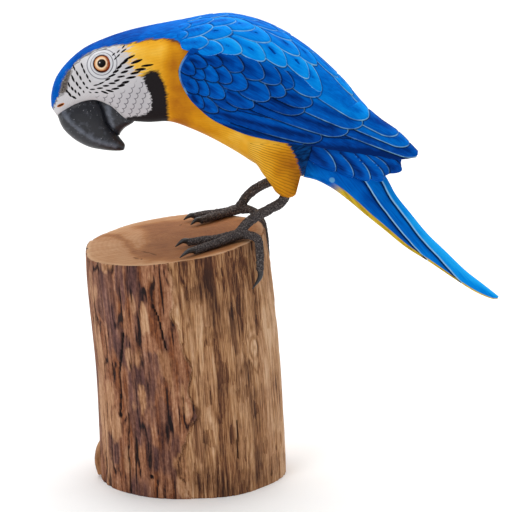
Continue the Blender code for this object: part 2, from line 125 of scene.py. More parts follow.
# Crease where each bill half's side meets its ridge, seen from the side: x, z.
BILL_CREASES = {
    "upper": [(-84, 249.6), (-80.4, 244), (-75.7, 239.2), (-69, 233.8), (-62.6, 229.8), (-56.4, 227),
              (-49, 224.4)],
    "lower": [(-53.6, 252), (-52.4, 245), (-50.4, 239.4)],
}
EYE_AT = (-56.6, 19.4, 283)            # x, distance from the plane of symmetry, z
EYE_FACES = (-0.12, 0.90, 0.41)
EYE_RADIUS, EYE_RING_STEP = 5.9, 2.5
# Profile of the eye's dome: radius, height.
EYE_DOME = [(5.9, -1.6), (5.9, 0.1), (5.2, 0.62), (3.6, 1.08), (1.4, 1.3), (0.05, 1.34)]
# Thigh sections, top to bottom: x, distance from symmetry, z, half length, half width.
THIGH = [
    (57, 15, 226, 13.6, 9.4), (57.6, 16.6, 219, 13.6, 10.4),
    (59, 18.6, 211, 12.2, 10.4), (61.8, 20.4, 203.5, 9.4, 9.2),
    (63.9, 21.8, 197.6, 7.5, 7.6), (64.8, 22.4, 193.9, 4.4, 4.6),
]
# Log sections: middle x, z, half length along X, half width along Y.
LOG = [
    (0.6, 0, 63.4, 61.4), (0.2, 14, 63.4, 61.4), (-0.6, 36, 63, 61.2),
    (-2.6, 77, 62.4, 61), (-5.4, 108, 62, 61), (-8.4, 140, 61.6, 60.8),
    (-10.6, 163, 60.2, 60.4),
]
LOG_WAVES = [(2, 0.6, 0.9), (3, 2.4, 0.8), (5, 0.9, 0.7), (8, 4.1, 0.5)]
LOG_RADIUS = 62           # as its side is charted
TOP_MIDDLE = (-9.9, 162.9)
TOP_RISE = 0.114
# The log's side as a flat chart: arc from the front (positive to the right) and height.
TORN_EDGE = [(-1.3, 0), (-9.1, 24.6), (-1.8, 43.3), (6.6, 57.1), (2.2, 75.6), (5.6, 89.3),
             (0.4, 107.6), (-4, 128), (-1.1, 148.3), (-4.6, 170)]
TORN_END = -118           # where the torn layer ends, round the back
# Patches: middle, half height, half width, how stained (below 0: how pale). The two narrow
# stains just right of the torn edge, at (7, 118) and (8.6, 90), are the torn layer's painted shadow.
LOG_PATCHES = [
    ((-48, 128), 17, 5, 1), ((-37, 146), 16, 3.6, 1), ((-22, 88), 15, 7, 0.9),
    ((-52.6, 26.6), 9, 6.5, 1), ((-16, 52), 20, 6, 0.7), ((-60, 150), 8, 2.6, 0.9),
    ((-21, 124), 9, 3.6, -1), ((-66, 55), 17, 9, -0.9), ((-29.9, 66), 12, 3.4, -0.9),
    ((-0.5, 68), 13, 3.2, -0.9), ((-66, 28), 14, 5, -0.7), ((-1.5, 143), 16, 2.2, -0.8),
    ((-5, 16), 16, 6, -1), ((-68, 138), 14, 2.4, -0.6), ((-48, 158.5), 6, 5.5, -0.8),
    ((20, 138), 20, 9, 0.4), ((38.6, 113), 15, 3, 0.9), ((8, 44), 20, 3.6, 0.9),
    ((52.6, 17), 12, 3.6, 0.7), ((44.4, 80), 16, 7, 0.3), ((7, 118), 26, 4, 0.35),
    ((8.6, 90), 22, 3, 0.75), ((48.6, 50), 14, 1.6, 0.7), ((22, 80), 28, 9, -0.35),
    ((33, 30), 26, 8, -0.4), ((-66, 96), 26, 5, -0.6), ((64, 60), 50, 7, -0.4),
    ((-52, 46), 10, 4.4, -0.8), ((-58, 66), 9, 4, -0.8),
]
KNOT = (55.4, 98)
LOG_CRACKS = [
    ([(-39, 112), (-41.2, 101.2), (-45.5, 84.2), (-45.7, 70.3), (-47.3, 56)], 1.1),
    ([(-40.1, 56.9), (-42.1, 29.2), (-41.4, 15.3), (-41.6, 2)], 0.8),
    ([(35, 52), (33.5, 26)], 0.7), ([(-74, 118), (-73, 92), (-76, 78)], 0.8),
    ([(-16, 134), (-13.4, 126), (-11.6, 116), (-10, 104)], 0.7),
]
LOG_HOLES = [((-47.4, 54.3), 1.5), ((-25.4, 14.8), 1.2)]
# Marks on the sawn top: x, y.
TOP_STREAK = [(-64.4, 21.2), (-58.6, 28.5), (-51.2, 24.8), (-43.7, 9.5), (-38.8, -12.1), (-36, -26)]
TOP_CRACKS = [([(-31.3, -22.6), (-21.1, -35.2)], 0.9), ([(-35.3, -35.9), (-30.7, -41.8)], 0.8),
              ([(-7.6, 31.8), (-6.2, 33.6)], 0.9)]
HEARTWOOD = [(-38.4, 40.9), (-20.5, 46), (-2.2, 45.5), (28, 36), (44, 14), (44, -14),
             (26, -42), (0, -54), (-26, -50), (-36, -30), (-28, -4), (-31, 24)]
# A splinter at the foot of the log: x, y, z, radius.
SPLINTER = [(-60.4, -14, 25.6, 0.8), (-61.9, -14, 19, 2.2), (-62.4, -14, 10, 2.5), (-61.2, -15, 2.2, 1.7)]
LEG_RADIUS, TOE_RADIUS, CLAW_RADIUS = 3.55, 2.9, 2.1
ANKLE_RADII = [4.2, 4.1, 3.9, 3.5]
PASTE_STEP = 0.45         # lattice on which the legs' and toes' bars are fused
LEGS = {
    "left": [(64.5, -11, 199), (61, -12, 191), (53, -15.5, 187),
             (45.5, -18, 183.4), (39, -20.5, 179.6), (34.8, -22.4, 175.4)],
    "right": [(64.5, 35, 199), (61, 36.5, 194), (52, 39.5, 190.8),
              (44.6, 41.4, 186.4), (38.4, 42.8, 181), (34.8, 43.2, 175.6)],
}
ANKLES = {"left": (33.2, -23, 172), "right": (33.4, 43, 171.6)}
# Toes from the ankle on.
TOES = {
    "left": [
        [(20, -33, 169.3), (11, -40.5, 168.2), (4, -46, 167.4)],
        [(19, -23.6, 169.2), (8, -24, 167.9), (-0.5, -24.5, 167)],
        [(40, -27.2, 172.4), (45.2, -31, 170.2),
         (46.4, -34, 161), (46.6, -34.6, 151)],
    ],
    "right": [
        [(21, 42.4, 169.3), (10, 40.8, 168.1), (2.4, 39.4, 167.3)],
        [(22, 37, 169.4), (13, 31.4, 168.5), (6.6, 27.6, 167.7)],
        [(40.4, 37.6, 172), (45.4, 32, 169.8),
         (48.8, 28.4, 161.6), (50.4, 26, 149.6)],
    ],
}
CLAWS = {
    "left": [
        [(4.6, -45.5, 167.4), (0, -49.4, 167.8), (-5.4, -54, 164.8)],
        [(0.2, -24.5, 167.1), (-4, -25.6, 168), (-9, -27.2, 164.6)],
        [(46.6, -34.6, 151.8), (46.4, -35.4, 146), (41.6, -36.4, 138.6)],
    ],
    "right": [
        [(3.1, 39.5, 167.4), (-0.6, 38.8, 167.8), (-5, 37.8, 165.2)],
        [(7.2, 28, 167.8), (3.8, 25.8, 168.2), (0, 23.2, 165.6)],
        [(50.4, 26, 150.4), (51.6, 24.8, 144), (51.6, 23.8, 137.4)],
    ],
}

# ---------------------------------------------------------------- feathers and painted marks

# A feather: tip, heading in degrees, length, half width, tone from 0 dark to 1 bright,
# strength of the light line round its tip. Lowest feathers come first.
WING_FEATHERS = [
    # the plain band along the lower edge and the three long ones at the tip
    (154, 216.4, -9, 150, 8, 0.12, 0),
    (152.6, 218.6, -24, 95, 5.6, 0.30, 0.9),
    (146.4, 226, -26, 85, 5.4, 0.54, 0.9),
    (138.6, 233.2, -30, 70, 5.6, 0.44, 0.9),
    # long feathers of the folded wing
    (75.8, 231.6, -12, 62, 5.2, 0.22, 0.5),
    (87, 234, -15, 72, 5.6, 0.24, 0.7),
    (104.2, 237.4, -20, 80, 6.6, 0.30, 0.8),
    (113.8, 241.2, -26, 82, 6.6, 0.46, 0.8),
    (118.2, 245.2, -34, 70, 6, 0.72, 1),
    (75.4, 253.4, -21, 40, 6.4, 0.24, 0.6),
    (80.4, 257.6, -24, 36, 6, 0.30, 0.4),
    (86, 263, -38, 34, 6.8, 0.52, 1),
    # coverts, from the rear row to the shoulder
    (31.2, 254.6, -40, 20, 6.4, 0.30, 0.5),
    (42.2, 257, -30, 20, 6.2, 0.34, 0.5),
    (68.2, 269.4, -32, 22, 6.4, 0.30, 0.5),
    (63, 264.6, -28, 20, 6, 0.36, 0.6),
    (52.4, 261.8, -36, 24, 7.8, 0.34, 0.6),
    (59.8, 272.6, -34, 22, 6.4, 0.30, 0.7),
    (48.8, 276, -34, 24, 7.2, 0.28, 0.6),
    (18.8, 252.6, -32, 14, 4.6, 0.32, 0.3),
    (38, 269.6, -30, 18, 7.4, 0.38, 0.3),
    (35.6, 281.4, -28, 22, 6.2, 0.28, 0.4),
    (23.2, 262.8, -34, 15, 6, 0.40, 0.4),
    (9, 254.8, -52, 11, 4.2, 0.26, 0.1),
    (27.8, 273.4, -34, 13, 5.4, 0.34, 0.4),
    (12.6, 263.8, -48, 11, 4.8, 0.36, 0.1),
    (21.8, 284.8, -16, 14, 4.4, 0.26, 0.1),
    (19.2, 274, -36, 12, 4.8, 0.40, 0.1),
    (5.6, 265.2, -50, 10, 4.4, 0.30, 0.1),
    (10.2, 275.2, -38, 11, 4.4, 0.34, 0.1),
    (11.8, 283.6, -20, 12, 4.2, 0.28, 0.1),
    (3.6, 277.8, -44, 9, 4.4, 0.26, 0.1),
]
# Feathers of the cape, laid on both sides: tip x, z seen from the side, then as above.
CAPE_FEATHERS = [
    (117.6, 252, 6, 60, 7, 0.74, 0.9),
    (108.2, 259.6, 8, 60, 6.6, 0.88, 1),
    (98.2, 271.4, 5, 46, 6.4, 0.74, 0.8),
    (87, 265.4, 18, 44, 7.2, 0.80, 1),
    (78.2, 274.6, 24, 34, 8.6, 0.84, 1),
    (84.2, 281.6, 8, 34, 7, 0.74, 1),
    (83, 287.4, 0, 32, 5.8, 0.68, 0.7),
    (63.6, 283, 22, 36, 8, 0.86, 0.9),
    (72.4, 288.6, 12, 30, 7, 0.74, 1),
    (67.6, 296.8, 4, 34, 6.4, 0.70, 0.8),
    (63, 301, 0, 30, 5.8, 0.66, 0.6),
    (49.8, 287.6, 18, 26, 6.6, 0.86, 0.9),
    (53.4, 298.6, 8, 34, 7.6, 0.78, 1),
    (57.8, 302.8, 2, 30, 5.4, 0.66, 0.7),
    (34.8, 292.8, 14, 24, 6, 0.88, 0.8),
    (43.4, 306, 2, 32, 7, 0.78, 0.9),
    (46, 308.9, 0, 28, 5.4, 0.68, 0.6),
    (28.4, 304.2, 8, 24, 6.8, 0.76, 0.9),
    (22.2, 293.6, 16, 22, 5.4, 0.74, 0.8),
    (30.6, 310.2, -2, 26, 5.2, 0.70, 0.7),
    (26, 313, 0, 24, 5.2, 0.66, 0.6),
    (12.6, 298.2, 12, 20, 5.4, 0.72, 0.9),
    (15.6, 307.2, 2, 22, 5.8, 0.70, 0.8),
    (16, 311, -3, 24, 4.4, 0.68, 0.6),
    (8, 311.4, 0, 20, 4.6, 0.62, 0.5),
    (-1, 302.6, 8, 18, 5, 0.62, 0.5),
    (1, 307.6, 2, 18, 4.8, 0.60, 0.4),
    (-9, 299.6, 8, 14, 4.2, 0.54, 0.3),
    (-8, 305, 3, 14, 4.4, 0.54, 0.25),
    (-5, 308.8, 0, 16, 4.2, 0.56, 0.3),
]
# Feathers over the root of the tail, on both sides.
RUMP_FEATHERS = [
    (141, 207.2, -28, 60, 5.6, 0.30, 0.2),
    (132, 206.4, -34, 56, 5.4, 0.36, 0.4),
    (128.6, 200.6, -46, 46, 5.2, 0.42, 0.8),
    (118.6, 201.2, -50, 38, 5.6, 0.38, 0.8),
    (107.4, 203.6, -50, 34, 5.8, 0.36, 0.8),
    (95.6, 208.2, -48, 34, 6.6, 0.30, 0.8),
]
# Lines between the long tail feathers: tail row, share of the height.
TAIL_LINES = [
    [(0, 0.98), (2.6, 0.90), (3.5, 0.86), (4.4, 0.84), (5.3, 0.79), (6.2, 0.70), (7, 0.57),
     (7.6, 0.40), (8.3, 0.10), (8.8, -1), (11, -4)],
    [(0, 0.72), (2.4, 0.62), (3.2, 0.56), (4.3, 0.51), (5.3, 0.40), (5.8, 0.35), (6.3, 0.25),
     (6.9, 0.06), (7.3, -1), (11, -4)],
]
TAIL_SPOT = (94.2, 202.9)               # a pale drop of paint: x, z

# Colour fields of the head and neck, seen from the side: x, z.
CROWN_EDGE = [
    (-90.8, 249), (-88.4, 255.6), (-85.6, 260.2), (-83.3, 269.2), (-79.2, 276),
    (-74.6, 282.3), (-68.7, 287), (-61.4, 290.9), (-52.8, 293.3), (-44.9, 294.9),
    (-39.6, 295.6), (-31.8, 297.2), (-25.2, 298.8), (-15.4, 299.5), (-7.5, 298.7),
    (-2, 294),
]
CHEEK_EDGE = [
    (-40.9, 294.6), (-38.2, 285.8), (-33.6, 277.3), (-30.4, 274.6), (-27, 268),
    (-24.6, 260.5), (-24.6, 252.6), (-29, 248), (-36, 246.8), (-40.5, 245.6),
]
COLLAR_EDGE = [
    (-34, 273), (-29.7, 276.6), (-25.1, 279.9), (-19.9, 278.8), (-16, 272),
    (-14.2, 263.2), (-13.6, 250), (-13.6, 225), (-60, 225), (-60, 250),
    (-41.5, 250), (-38, 262),
]
VENT_EDGE = [(58, 238), (66, 229), (70.5, 220), (73.5, 210), (75, 196),
             (110, 196), (110, 260), (60, 260)]
FOREHEAD_PATCH = [(-79.5, 277), (-83.6, 269), (-85.4, 261.6), (-82.6, 260.8),
                  (-79.8, 264.6), (-78.6, 271), (-76.4, 277.6)]
# Cheek with scales; the point from which the cuts on the thighs fan out, and how far out
# they are their true spacing apart.
SCALE_FIELD = [(-64, 260.6), (-52, 262.6), (-44, 265), (-36, 270), (-31, 276),
               (-25, 268), (-22, 250), (-40, 243), (-50, 252), (-58, 257)]
THIGH_FAN, THIGH_SPREAD = (-23, 245), 96
# Black dashes: x, z of one end, x, z of the other, width.
DASHES = [
    (-49.8, 288.3, -48.2, 289.7, 0.5), (-46.7, 290.1, -45.2, 291.5, 0.5),
    (-43.4, 292.7, -41.8, 294.4, 0.5), (-48.4, 285.9, -47, 287.3, 0.5), (-46.7, 287.4, -45, 289.1, 0.6),
    (-44.1, 290.1, -40.9, 292.4, 0.6), (-62.2, 268.6, -58.9, 269.4, 0.6),
    (-59.2, 269.4, -55.3, 271.3, 0.7), (-54.6, 272.3, -51.3, 273.8, 0.9),
    (-52.3, 274.7, -47.7, 276.6, 0.9), (-49.3, 277.6, -45.7, 279.2, 1.2),
    (-46.7, 280.3, -43.7, 282.2, 1.3), (-44.6, 282.7, -39.6, 285.8, 1.3), (-41.8, 285.7, -35, 288.9, 1),
    (-64.6, 265.7, -61.4, 266, 0.7), (-60, 266.6, -56.1, 267.1, 0.9), (-56, 268.5, -52.2, 268.8, 1),
    (-52.3, 270.3, -47.5, 270.7, 0.9), (-48.7, 272, -44.8, 273, 1), (-46.7, 274.6, -41.7, 275.5, 0.9),
    (-44.1, 277.5, -39.5, 278.9, 1.2), (-41.4, 280.2, -35.9, 282.1, 1.2),
    (-37.5, 283.6, -30.3, 286.3, 1.5), (-65.3, 263.8, -63.9, 263.1, 0.5),
    (-61.4, 263.6, -59.4, 263.6, 0.7), (-57.2, 264.7, -52.8, 263.2, 1.1),
    (-54.1, 265.7, -49.3, 264.7, 1.1), (-50.4, 266.4, -45.5, 267.3, 1), (-46.5, 268.6, -42, 269.4, 1.3),
    (-43.8, 270.7, -38.6, 272, 1.4), (-40.8, 274, -34.6, 275.1, 1.2), (-37.9, 276.9, -32, 278.3, 1.3),
    (-34.8, 279.6, -28, 280.4, 1.4), (-30.7, 282.1, -23.1, 283.2, 1.1),
    (-80.5, 264.4, -79.5, 262.5, 1.2), (-79.1, 262.9, -77.4, 259.8, 1.3),
    (-76.7, 260.2, -74.2, 258.3, 1.3), (-79.2, 269.7, -78, 266.7, 0.9), (-77, 266.8, -75.9, 264.5, 1.2),
    (-74.7, 264.9, -74, 262.8, 1), (-72.6, 263.1, -71.4, 260.6, 0.9), (-76.8, 274.6, -75, 270.5, 1.1),
    (-73.8, 270.5, -72.5, 267.8, 1.1), (-71.7, 267.3, -70.6, 265.9, 1),
    (-69.1, 264.5, -68.7, 263.1, 0.6), (-76, 280.5, -74.4, 277.7, 0.8), (-73.6, 277.5, -72.4, 274.9, 1),
    (-71.3, 274.7, -70.3, 272.1, 1), (-69.2, 270.8, -68.1, 268.9, 1), (-67.2, 267.4, -65.9, 266.4, 0.9),
    (-70.5, 282.5, -69.2, 279.8, 0.9), (-68.9, 279.3, -67.7, 276.6, 0.9),
    (-66.9, 276.1, -65.7, 273.3, 0.9), (-65.1, 272.4, -64.1, 271, 0.8),
]
NOSTRIL_AT, NOSTRIL_TILT = (-84.6, 253.2), 29.0

LOOK_AT = (43.9, 0.0, 150.4)
LENS_DISTANCE, LENS_TILT = 2000.0, 16.0     # millimetres; degrees down from level
LENS_LENGTH, SENSOR_WIDTH = 210.9375, 36.0
# Lamps: name, place in metres, width in metres, watts.
LAMPS = [("key", (-1.1, -1.5, 1.9), 1.0, 16.0), ("ceiling", (0.1, 0.9, 2.4), 3.4, 80.0)]


# ---------------------------------------------------------------- sums used by every piece

def read_rows(rows, places):
    """Rows of a table read at fractional places, on a Catmull-Rom curve through them."""
    table = np.array(rows, float)
    last = len(table) - 1
    places = np.clip(np.asarray(places, float), 0.0, last)
    index = np.minimum(places.astype(int), last - 1)
    f = (places - index)[..., None]
    a, b = table[np.maximum(index - 1, 0)], table[index]
    c, d = table[index + 1], table[np.minimum(index + 2, last)]
    cubic = -a + 3 * b - 3 * c + d
    return 0.5 * (2 * b + (c - a) * f + (2 * a - 5 * b + 4 * c - d) * f ** 2 + cubic * f ** 3)


def trace(table, count, first=0.0):
    """A table's curve read at even places, from row `first` to the last."""
    return read_rows(table, np.linspace(first, len(table) - 1, count))


def ease(low, high, value):
    """0 below `low`, 1 above `high`, a cubic with level ends between."""
    share = np.clip((value - low) / (high - low), 0.0, 1.0)
    return share * share * (3.0 - 2.0 * share)


def ripple(points, size, seed):
    """Smooth random values from -1 to 1.

    Random heights stand on the corners of cubes `size` wide (a number, or one for each
    axis), and each point blends the eight round it with eased weights.
    """
    spots = points / np.asarray(size, float)
    cell = np.floor(spots).astype(np.int64)
    f = spots - cell
    f = f * f * (3.0 - 2.0 * f)
    total = np.zeros(points.shape[:-1])
    for corner in np.ndindex(2, 2, 2):
        key = cell + np.array(corner)
        mixed = key[..., 0] * 73856093 ^ key[..., 1] * 19349663 ^ key[..., 2] * 83492791 ^ seed * 97531
        mixed = ((mixed ^ (mixed >> 13)) * 1274126177) & 0xFFFFFFFF
        mixed = ((mixed ^ (mixed >> 15)) * 2246822519) & 0xFFFFFFFF
        value = ((mixed ^ (mixed >> 16)) & 0xFFFF) / 65535.0
        weight = np.where(np.array(corner) == 1, f, 1.0 - f).prod(axis=-1)
        total += weight * value
    return 2.0 * total - 1.0


def facing(points, wrap):
    """Unit normals of a grid: the cross product of its steps along rows and columns."""
    down = np.gradient(points, axis=0)
    if wrap:
        over = (np.roll(points, -1, axis=1) - np.roll(points, 1, axis=1)) / 2
    else:
        over = np.gradient(points, axis=1)
    normal = np.cross(down, over)
    normal /= np.maximum(np.linalg.norm(normal, axis=-1), 1e-9)[..., None]
    outwards = points - points.mean(axis=1, keepdims=True)
    return normal * np.sign((normal * outwards).sum())


def carve(points, height, wrap=True):
    """A grid of points moved out along its normals by the height at each."""
    return points + facing(points, wrap) * height[..., None]


def path_distance(chart, path):
    """Distance from each point of a flat chart to the nearest stretch of a path."""
    best = np.full(chart.shape[:-1], 1e9)
    for start, end in zip(path[:-1], path[1:]):
        start, step = np.array(start), np.subtract(end, start)
        share = np.clip((chart - start) @ step / (step @ step), 0.0, 1.0)
        best = np.minimum(best, np.linalg.norm(chart - start - share[..., None] * step, axis=-1))
    return best


def field_depth(chart, outline):
    """Distance to a closed outline, positive inside it, by the crossing rule."""
    closed = list(outline) + [outline[0]]
    inside = np.zeros(chart.shape[:-1], bool)
    for (xa, za), (xb, zb) in zip(closed[:-1], closed[1:]):
        if za == zb:
            continue
        spans = (chart[..., 1] > za) != (chart[..., 1] > zb)
        crossing = xa + (chart[..., 1] - za) * (xb - xa) / (zb - za)
        inside ^= spans & (chart[..., 0] < crossing)
    return path_distance(chart, closed) * np.where(inside, 1.0, -1.0)


def oval_depth(chart, centre, heading, half_length, half_width, power=2.0):
    """About the distance into an oval, positive inside: one minus the power norm of the
    offset in half sizes, divided by the slope of that norm."""
    turn = np.radians(heading)
    offset = chart - np.array(centre)
    along = np.abs(offset @ np.array([np.cos(turn), np.sin(turn)])) / half_length
    across = np.abs(offset @ np.array([-np.sin(turn), np.cos(turn)])) / half_width
    norm = np.maximum((along ** power + across ** power) ** (1 / power), 1e-3)
    slope = np.hypot((along / norm) ** (power - 1) / half_length,
                     (across / norm) ** (power - 1) / half_width)
    return (1.0 - norm) / np.maximum(slope, 0.3 / half_width)


def round_turns(count):
    """Even turns of a full circle."""
    return np.linspace(0.0, 2 * np.pi, count, endpoint=False)


def boxy_ovals(rows, turns, square):
    """Points of boxy ovals between each row's top and bottom points: with turn t from
    the top, up is the signed power 2/square of cos t and out that of sin t."""
    up, out = np.cos(turns), np.sin(turns)
    up = np.sign(up) * np.abs(up) ** (2 / square)
    out = np.sign(out) * np.abs(out) ** (2 / square)
    high, low = rows[..., 0:2], rows[..., 2:4]
    flat = (high + low) / 2 + (high - low) / 2 * up[..., None]
    return np.stack([flat[..., 0], BIRD_Y + rows[..., 4] * out, flat[..., 1]], axis=-1)


def body_surface(places, turns, top=0.0, side=0.0):
    """Points on the body's ovals: `top` moves each row's top point out along the line
    from its bottom, and `side` adds to its half width."""
    rows = read_rows(BODY, places)
    along = rows[..., 0:2] - rows[..., 2:4]
    along = along / np.linalg.norm(along, axis=-1)[..., None]
    rows[..., 0:2] += along * np.asarray(top)[..., None]
    rows[..., 4] += side
    return boxy_ovals(rows, turns, BODY_SQUARE)


def table_ovals(table, square, down, over):
    """Rows of a table read at `down` even places, and their boxy ovals at `over` turns."""
    places, turns = np.meshgrid(np.linspace(0.0, len(table) - 1, down), round_turns(over), indexing="ij")
    rows = read_rows(table, places)
    return rows, boxy_ovals(rows, turns, square)


def find_row(x, z):
    """Body row and height share (-1 bottom, 1 top) of points seen from the side.

    The row is halved in on: the one whose line from top to bottom passes through x, z.
    """
    x, z = np.asarray(x, float), np.asarray(z, float)
    low, high = np.full(x.shape, 0.0), np.full(x.shape, TIP_ROW)
    for _ in range(30):
        middle = (low + high) / 2
        row = read_rows(BODY, middle)
        side = ((row[..., 2] - row[..., 0]) * (z - row[..., 1])
                - (row[..., 3] - row[..., 1]) * (x - row[..., 0]))
        low, high = np.where(side > 0, middle, low), np.where(side > 0, high, middle)
    row = read_rows(BODY, low)
    reach = (row[..., 0:2] - row[..., 2:4]) / 2
    offset = np.stack([x, z], axis=-1) - (row[..., 0:2] + row[..., 2:4]) / 2
    return low, (offset * reach).sum(axis=-1) / (reach ** 2).sum(axis=-1)


def turn_of(up):
    """The turn from the top, 0 to pi, at which a boxy oval reaches a height share."""
    up = np.clip(up, -1.0, 1.0)
    return np.arccos(np.sign(up) * np.abs(up) ** (BODY_SQUARE / 2))


def lay_feathers(chart, feathers, bare=-1.3, lip=0.75):
    """Marks of carved feathers laid over one another on a flat chart, the lowest first.

    Each is a long oval with a drawn-out tip: with `back` the distance behind the tip,
    the nose's share (1 - back / nose) and the sideways share meet in a power norm that
    is 1 on the outline. A feather is highest at its tip, sinks towards its root and
    rounds off at its rim, and a groove is cut into whatever lies just outside it.
    """
    shape, chart = chart.shape[:-1], chart.reshape(-1, 2)
    plain = {"height": bare, "rim": FAR, "groove": FAR, "line": 0.0, "core": 0.0, "tone": 0.2}
    marks = {key: np.full(len(chart), value) for key, value in plain.items()}
    power = 1.75
    for x, z, heading, length, half, tone, line in feathers:
        turn = np.radians(heading)
        ahead = np.array([np.cos(turn), np.sin(turn)])
        offset = chart - np.array([x, z])
        near = np.flatnonzero(np.abs(offset).max(axis=1) < length + 5.0)
        offset = offset[near]
        back, side = -(offset @ ahead), offset @ np.array([-ahead[1], ahead[0]])
        nose = min(2.0 * half, 0.8 * length)
        behind = np.clip((back - nose) / max(length - nose, 1.0), 0.0, 1.0)
        width = half * (1.0 - 0.3 * behind ** 2)
        share = np.clip(1.0 - back / nose, 0.0, None)
        across = np.abs(side) / width
        norm = np.maximum((share ** power + across ** power) ** (1 / power), 1e-3)
        slope = np.hypot((share / norm) ** (power - 1) / nose, (across / norm) ** (power - 1) / width)
        depth = (1.0 - norm) / np.maximum(slope, 0.3 / width)
        inside = (depth > 0) & (back < length)
        edge = ~inside & (depth > -2.5) & (back < 0.85 * length)
        rooted = 1.0 - 0.3 * np.clip(back / length, 0.0, 1.0)
        height = lip * (1.2 * rooted - 1.0) * 2.0 - 0.3 * across ** 2 - 0.45 * np.exp(-(depth / 0.6) ** 2)
        spot = near[inside]
        marks["height"][spot] = height[inside]
        marks["rim"][spot] = depth[inside]
        marks["groove"][spot] = FAR
        faint = line * (1.0 - ease(max(0.9 * nose, 0.3 * length), max(1.7 * nose, 0.62 * length), back))
        marks["line"][spot] = faint[inside]
        core = np.exp(-(side / (0.34 * width)) ** 2) * ease(0.25 * nose, 0.9 * nose, back)
        marks["core"][spot] = core[inside]
        # each feather a little lighter towards one side, a painted light across its rounded face
        marks["tone"][spot] = (tone + 0.1 * side / width)[inside]
        spot = near[edge]
        marks["line"][spot] = np.where(-depth[edge] < marks["rim"][spot], faint[edge], marks["line"][spot])
        marks["rim"][spot] = np.minimum(marks["rim"][spot], -depth[edge])
        marks["groove"][spot] = np.minimum(marks["groove"][spot], -depth[edge])
    marks["height"] = marks["height"] - 0.55 * np.exp(-(marks["groove"] / 0.65) ** 2)
    return {key: values.reshape(shape) for key, values in marks.items()}


def paint_marks(marks, hidden=0, tone=0.0):
    """The feather marks that the paint reads, carried on over hidden columns: there the
    paint has one tone and no rims, cuts, lines or quills."""
    plain = {"rim": FAR, "groove": FAR, "line": 0.0, "core": 0.0, "tone": tone}
    return {key: np.pad(marks[key], ((0, 0), (0, hidden)), constant_values=value)
            for key, value in plain.items()}


# ---------------------------------------------------------------- meshes

def grid_mesh(name, points, finish, marks, stands_for):
    """A closed skin over a grid of points: rows along the piece, columns round it.

    Each row joins up with itself, and the first and last row close on their middles.
    """
    rows, columns = points.shape[:2]
    ends = np.stack([points[0].mean(axis=0), points[-1].mean(axis=0)])
    spots = np.concatenate([points.reshape(-1, 3), ends]) * MM
    i, j = np.meshgrid(np.arange(rows - 1), np.arange(columns), indexing="ij")
    corner_rows = np.stack([i, i + 1, i + 1, i], axis=-1)
    corner_columns = np.stack([j, j, j + 1, j + 1], axis=-1)
    quads = (corner_rows * columns + corner_columns % columns).reshape(-1, 4)
    ring = np.arange(columns)
    first = np.stack([ring, (ring + 1) % columns, np.full(columns, rows * columns)], axis=-1)
    last = (rows - 1) * columns + first
    last[:, 2] = rows * columns + 1
    last = last[:, [1, 0, 2]]
    volume = (np.cross(spots[quads[:, 0]], spots[quads[:, 1]]) * spots[quads[:, 2]]).sum()
    volume += (np.cross(spots[quads[:, 0]], spots[quads[:, 2]]) * spots[quads[:, 3]]).sum()
    quad_uv = np.stack([corner_columns / columns, 0.02 + 0.96 * corner_rows / (rows - 1)], axis=-1)
    quad_uv = quad_uv.reshape(-1, 4, 2)
    first_uv = np.stack([np.stack([ring, ring + 1, ring + 0.5], axis=-1) / columns,
                         np.tile([0.02, 0.02, 0.0], (columns, 1))], axis=-1)
    last_uv = first_uv[:, [1, 0, 2]].copy()
    last_uv[..., 1] = 1.0 - last_uv[..., 1]
    if volume < 0:
        quads, quad_uv = quads[:, ::-1], quad_uv[:, ::-1]
        first, first_uv = first[:, ::-1], first_uv[:, ::-1]
        last, last_uv = last[:, ::-1], last_uv[:, ::-1]
    corners = np.concatenate([quads.ravel(), first.ravel(), last.ravel()]).astype(np.int32)
    sizes = np.concatenate([np.full(len(quads), 4), np.full(2 * columns, 3)])
    mesh = bpy.data.meshes.new(name)
    mesh.vertices.add(len(spots))
    mesh.vertices.foreach_set("co", spots.ravel().astype(np.float32))
    mesh.loops.add(len(corners))
    mesh.loops.foreach_set("vertex_index", corners)
    mesh.polygons.add(len(sizes))
    mesh.polygons.foreach_set("loop_start", (np.cumsum(sizes) - sizes).astype(np.int32))
    mesh.polygons.foreach_set("use_smooth", np.ones(len(sizes), bool))
    layer = mesh.uv_layers.new(name="OFBake")
    uv = np.concatenate([quad_uv.ravel(), first_uv.ravel(), last_uv.ravel()])
    layer.data.foreach_set("uv", uv.astype(np.float32))
    for key, values in marks.items():
        values = values.reshape(rows, columns)
        full = np.concatenate([values.ravel(), [values[0].mean(), values[-1].mean()]])
        mesh.attributes.new(key, "FLOAT", "POINT").data.foreach_set("value", full.astype(np.float32))
    mesh.update(calc_edges=True)
    mesh.validate()
    place(name, mesh, finish, stands_for)


def place(name, mesh, finish, stands_for):
    """Puts a finished mesh into the scene as a piece that rides on the root, stands for
    the solids it replaces, and takes its finish from a slot."""
    mesh.materials.append(finish)
    item = bpy.data.objects.new(name, mesh)
    bpy.context.scene.collection.objects.link(item)
    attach(item, "root")
    if stands_for:
        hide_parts(*stands_for)


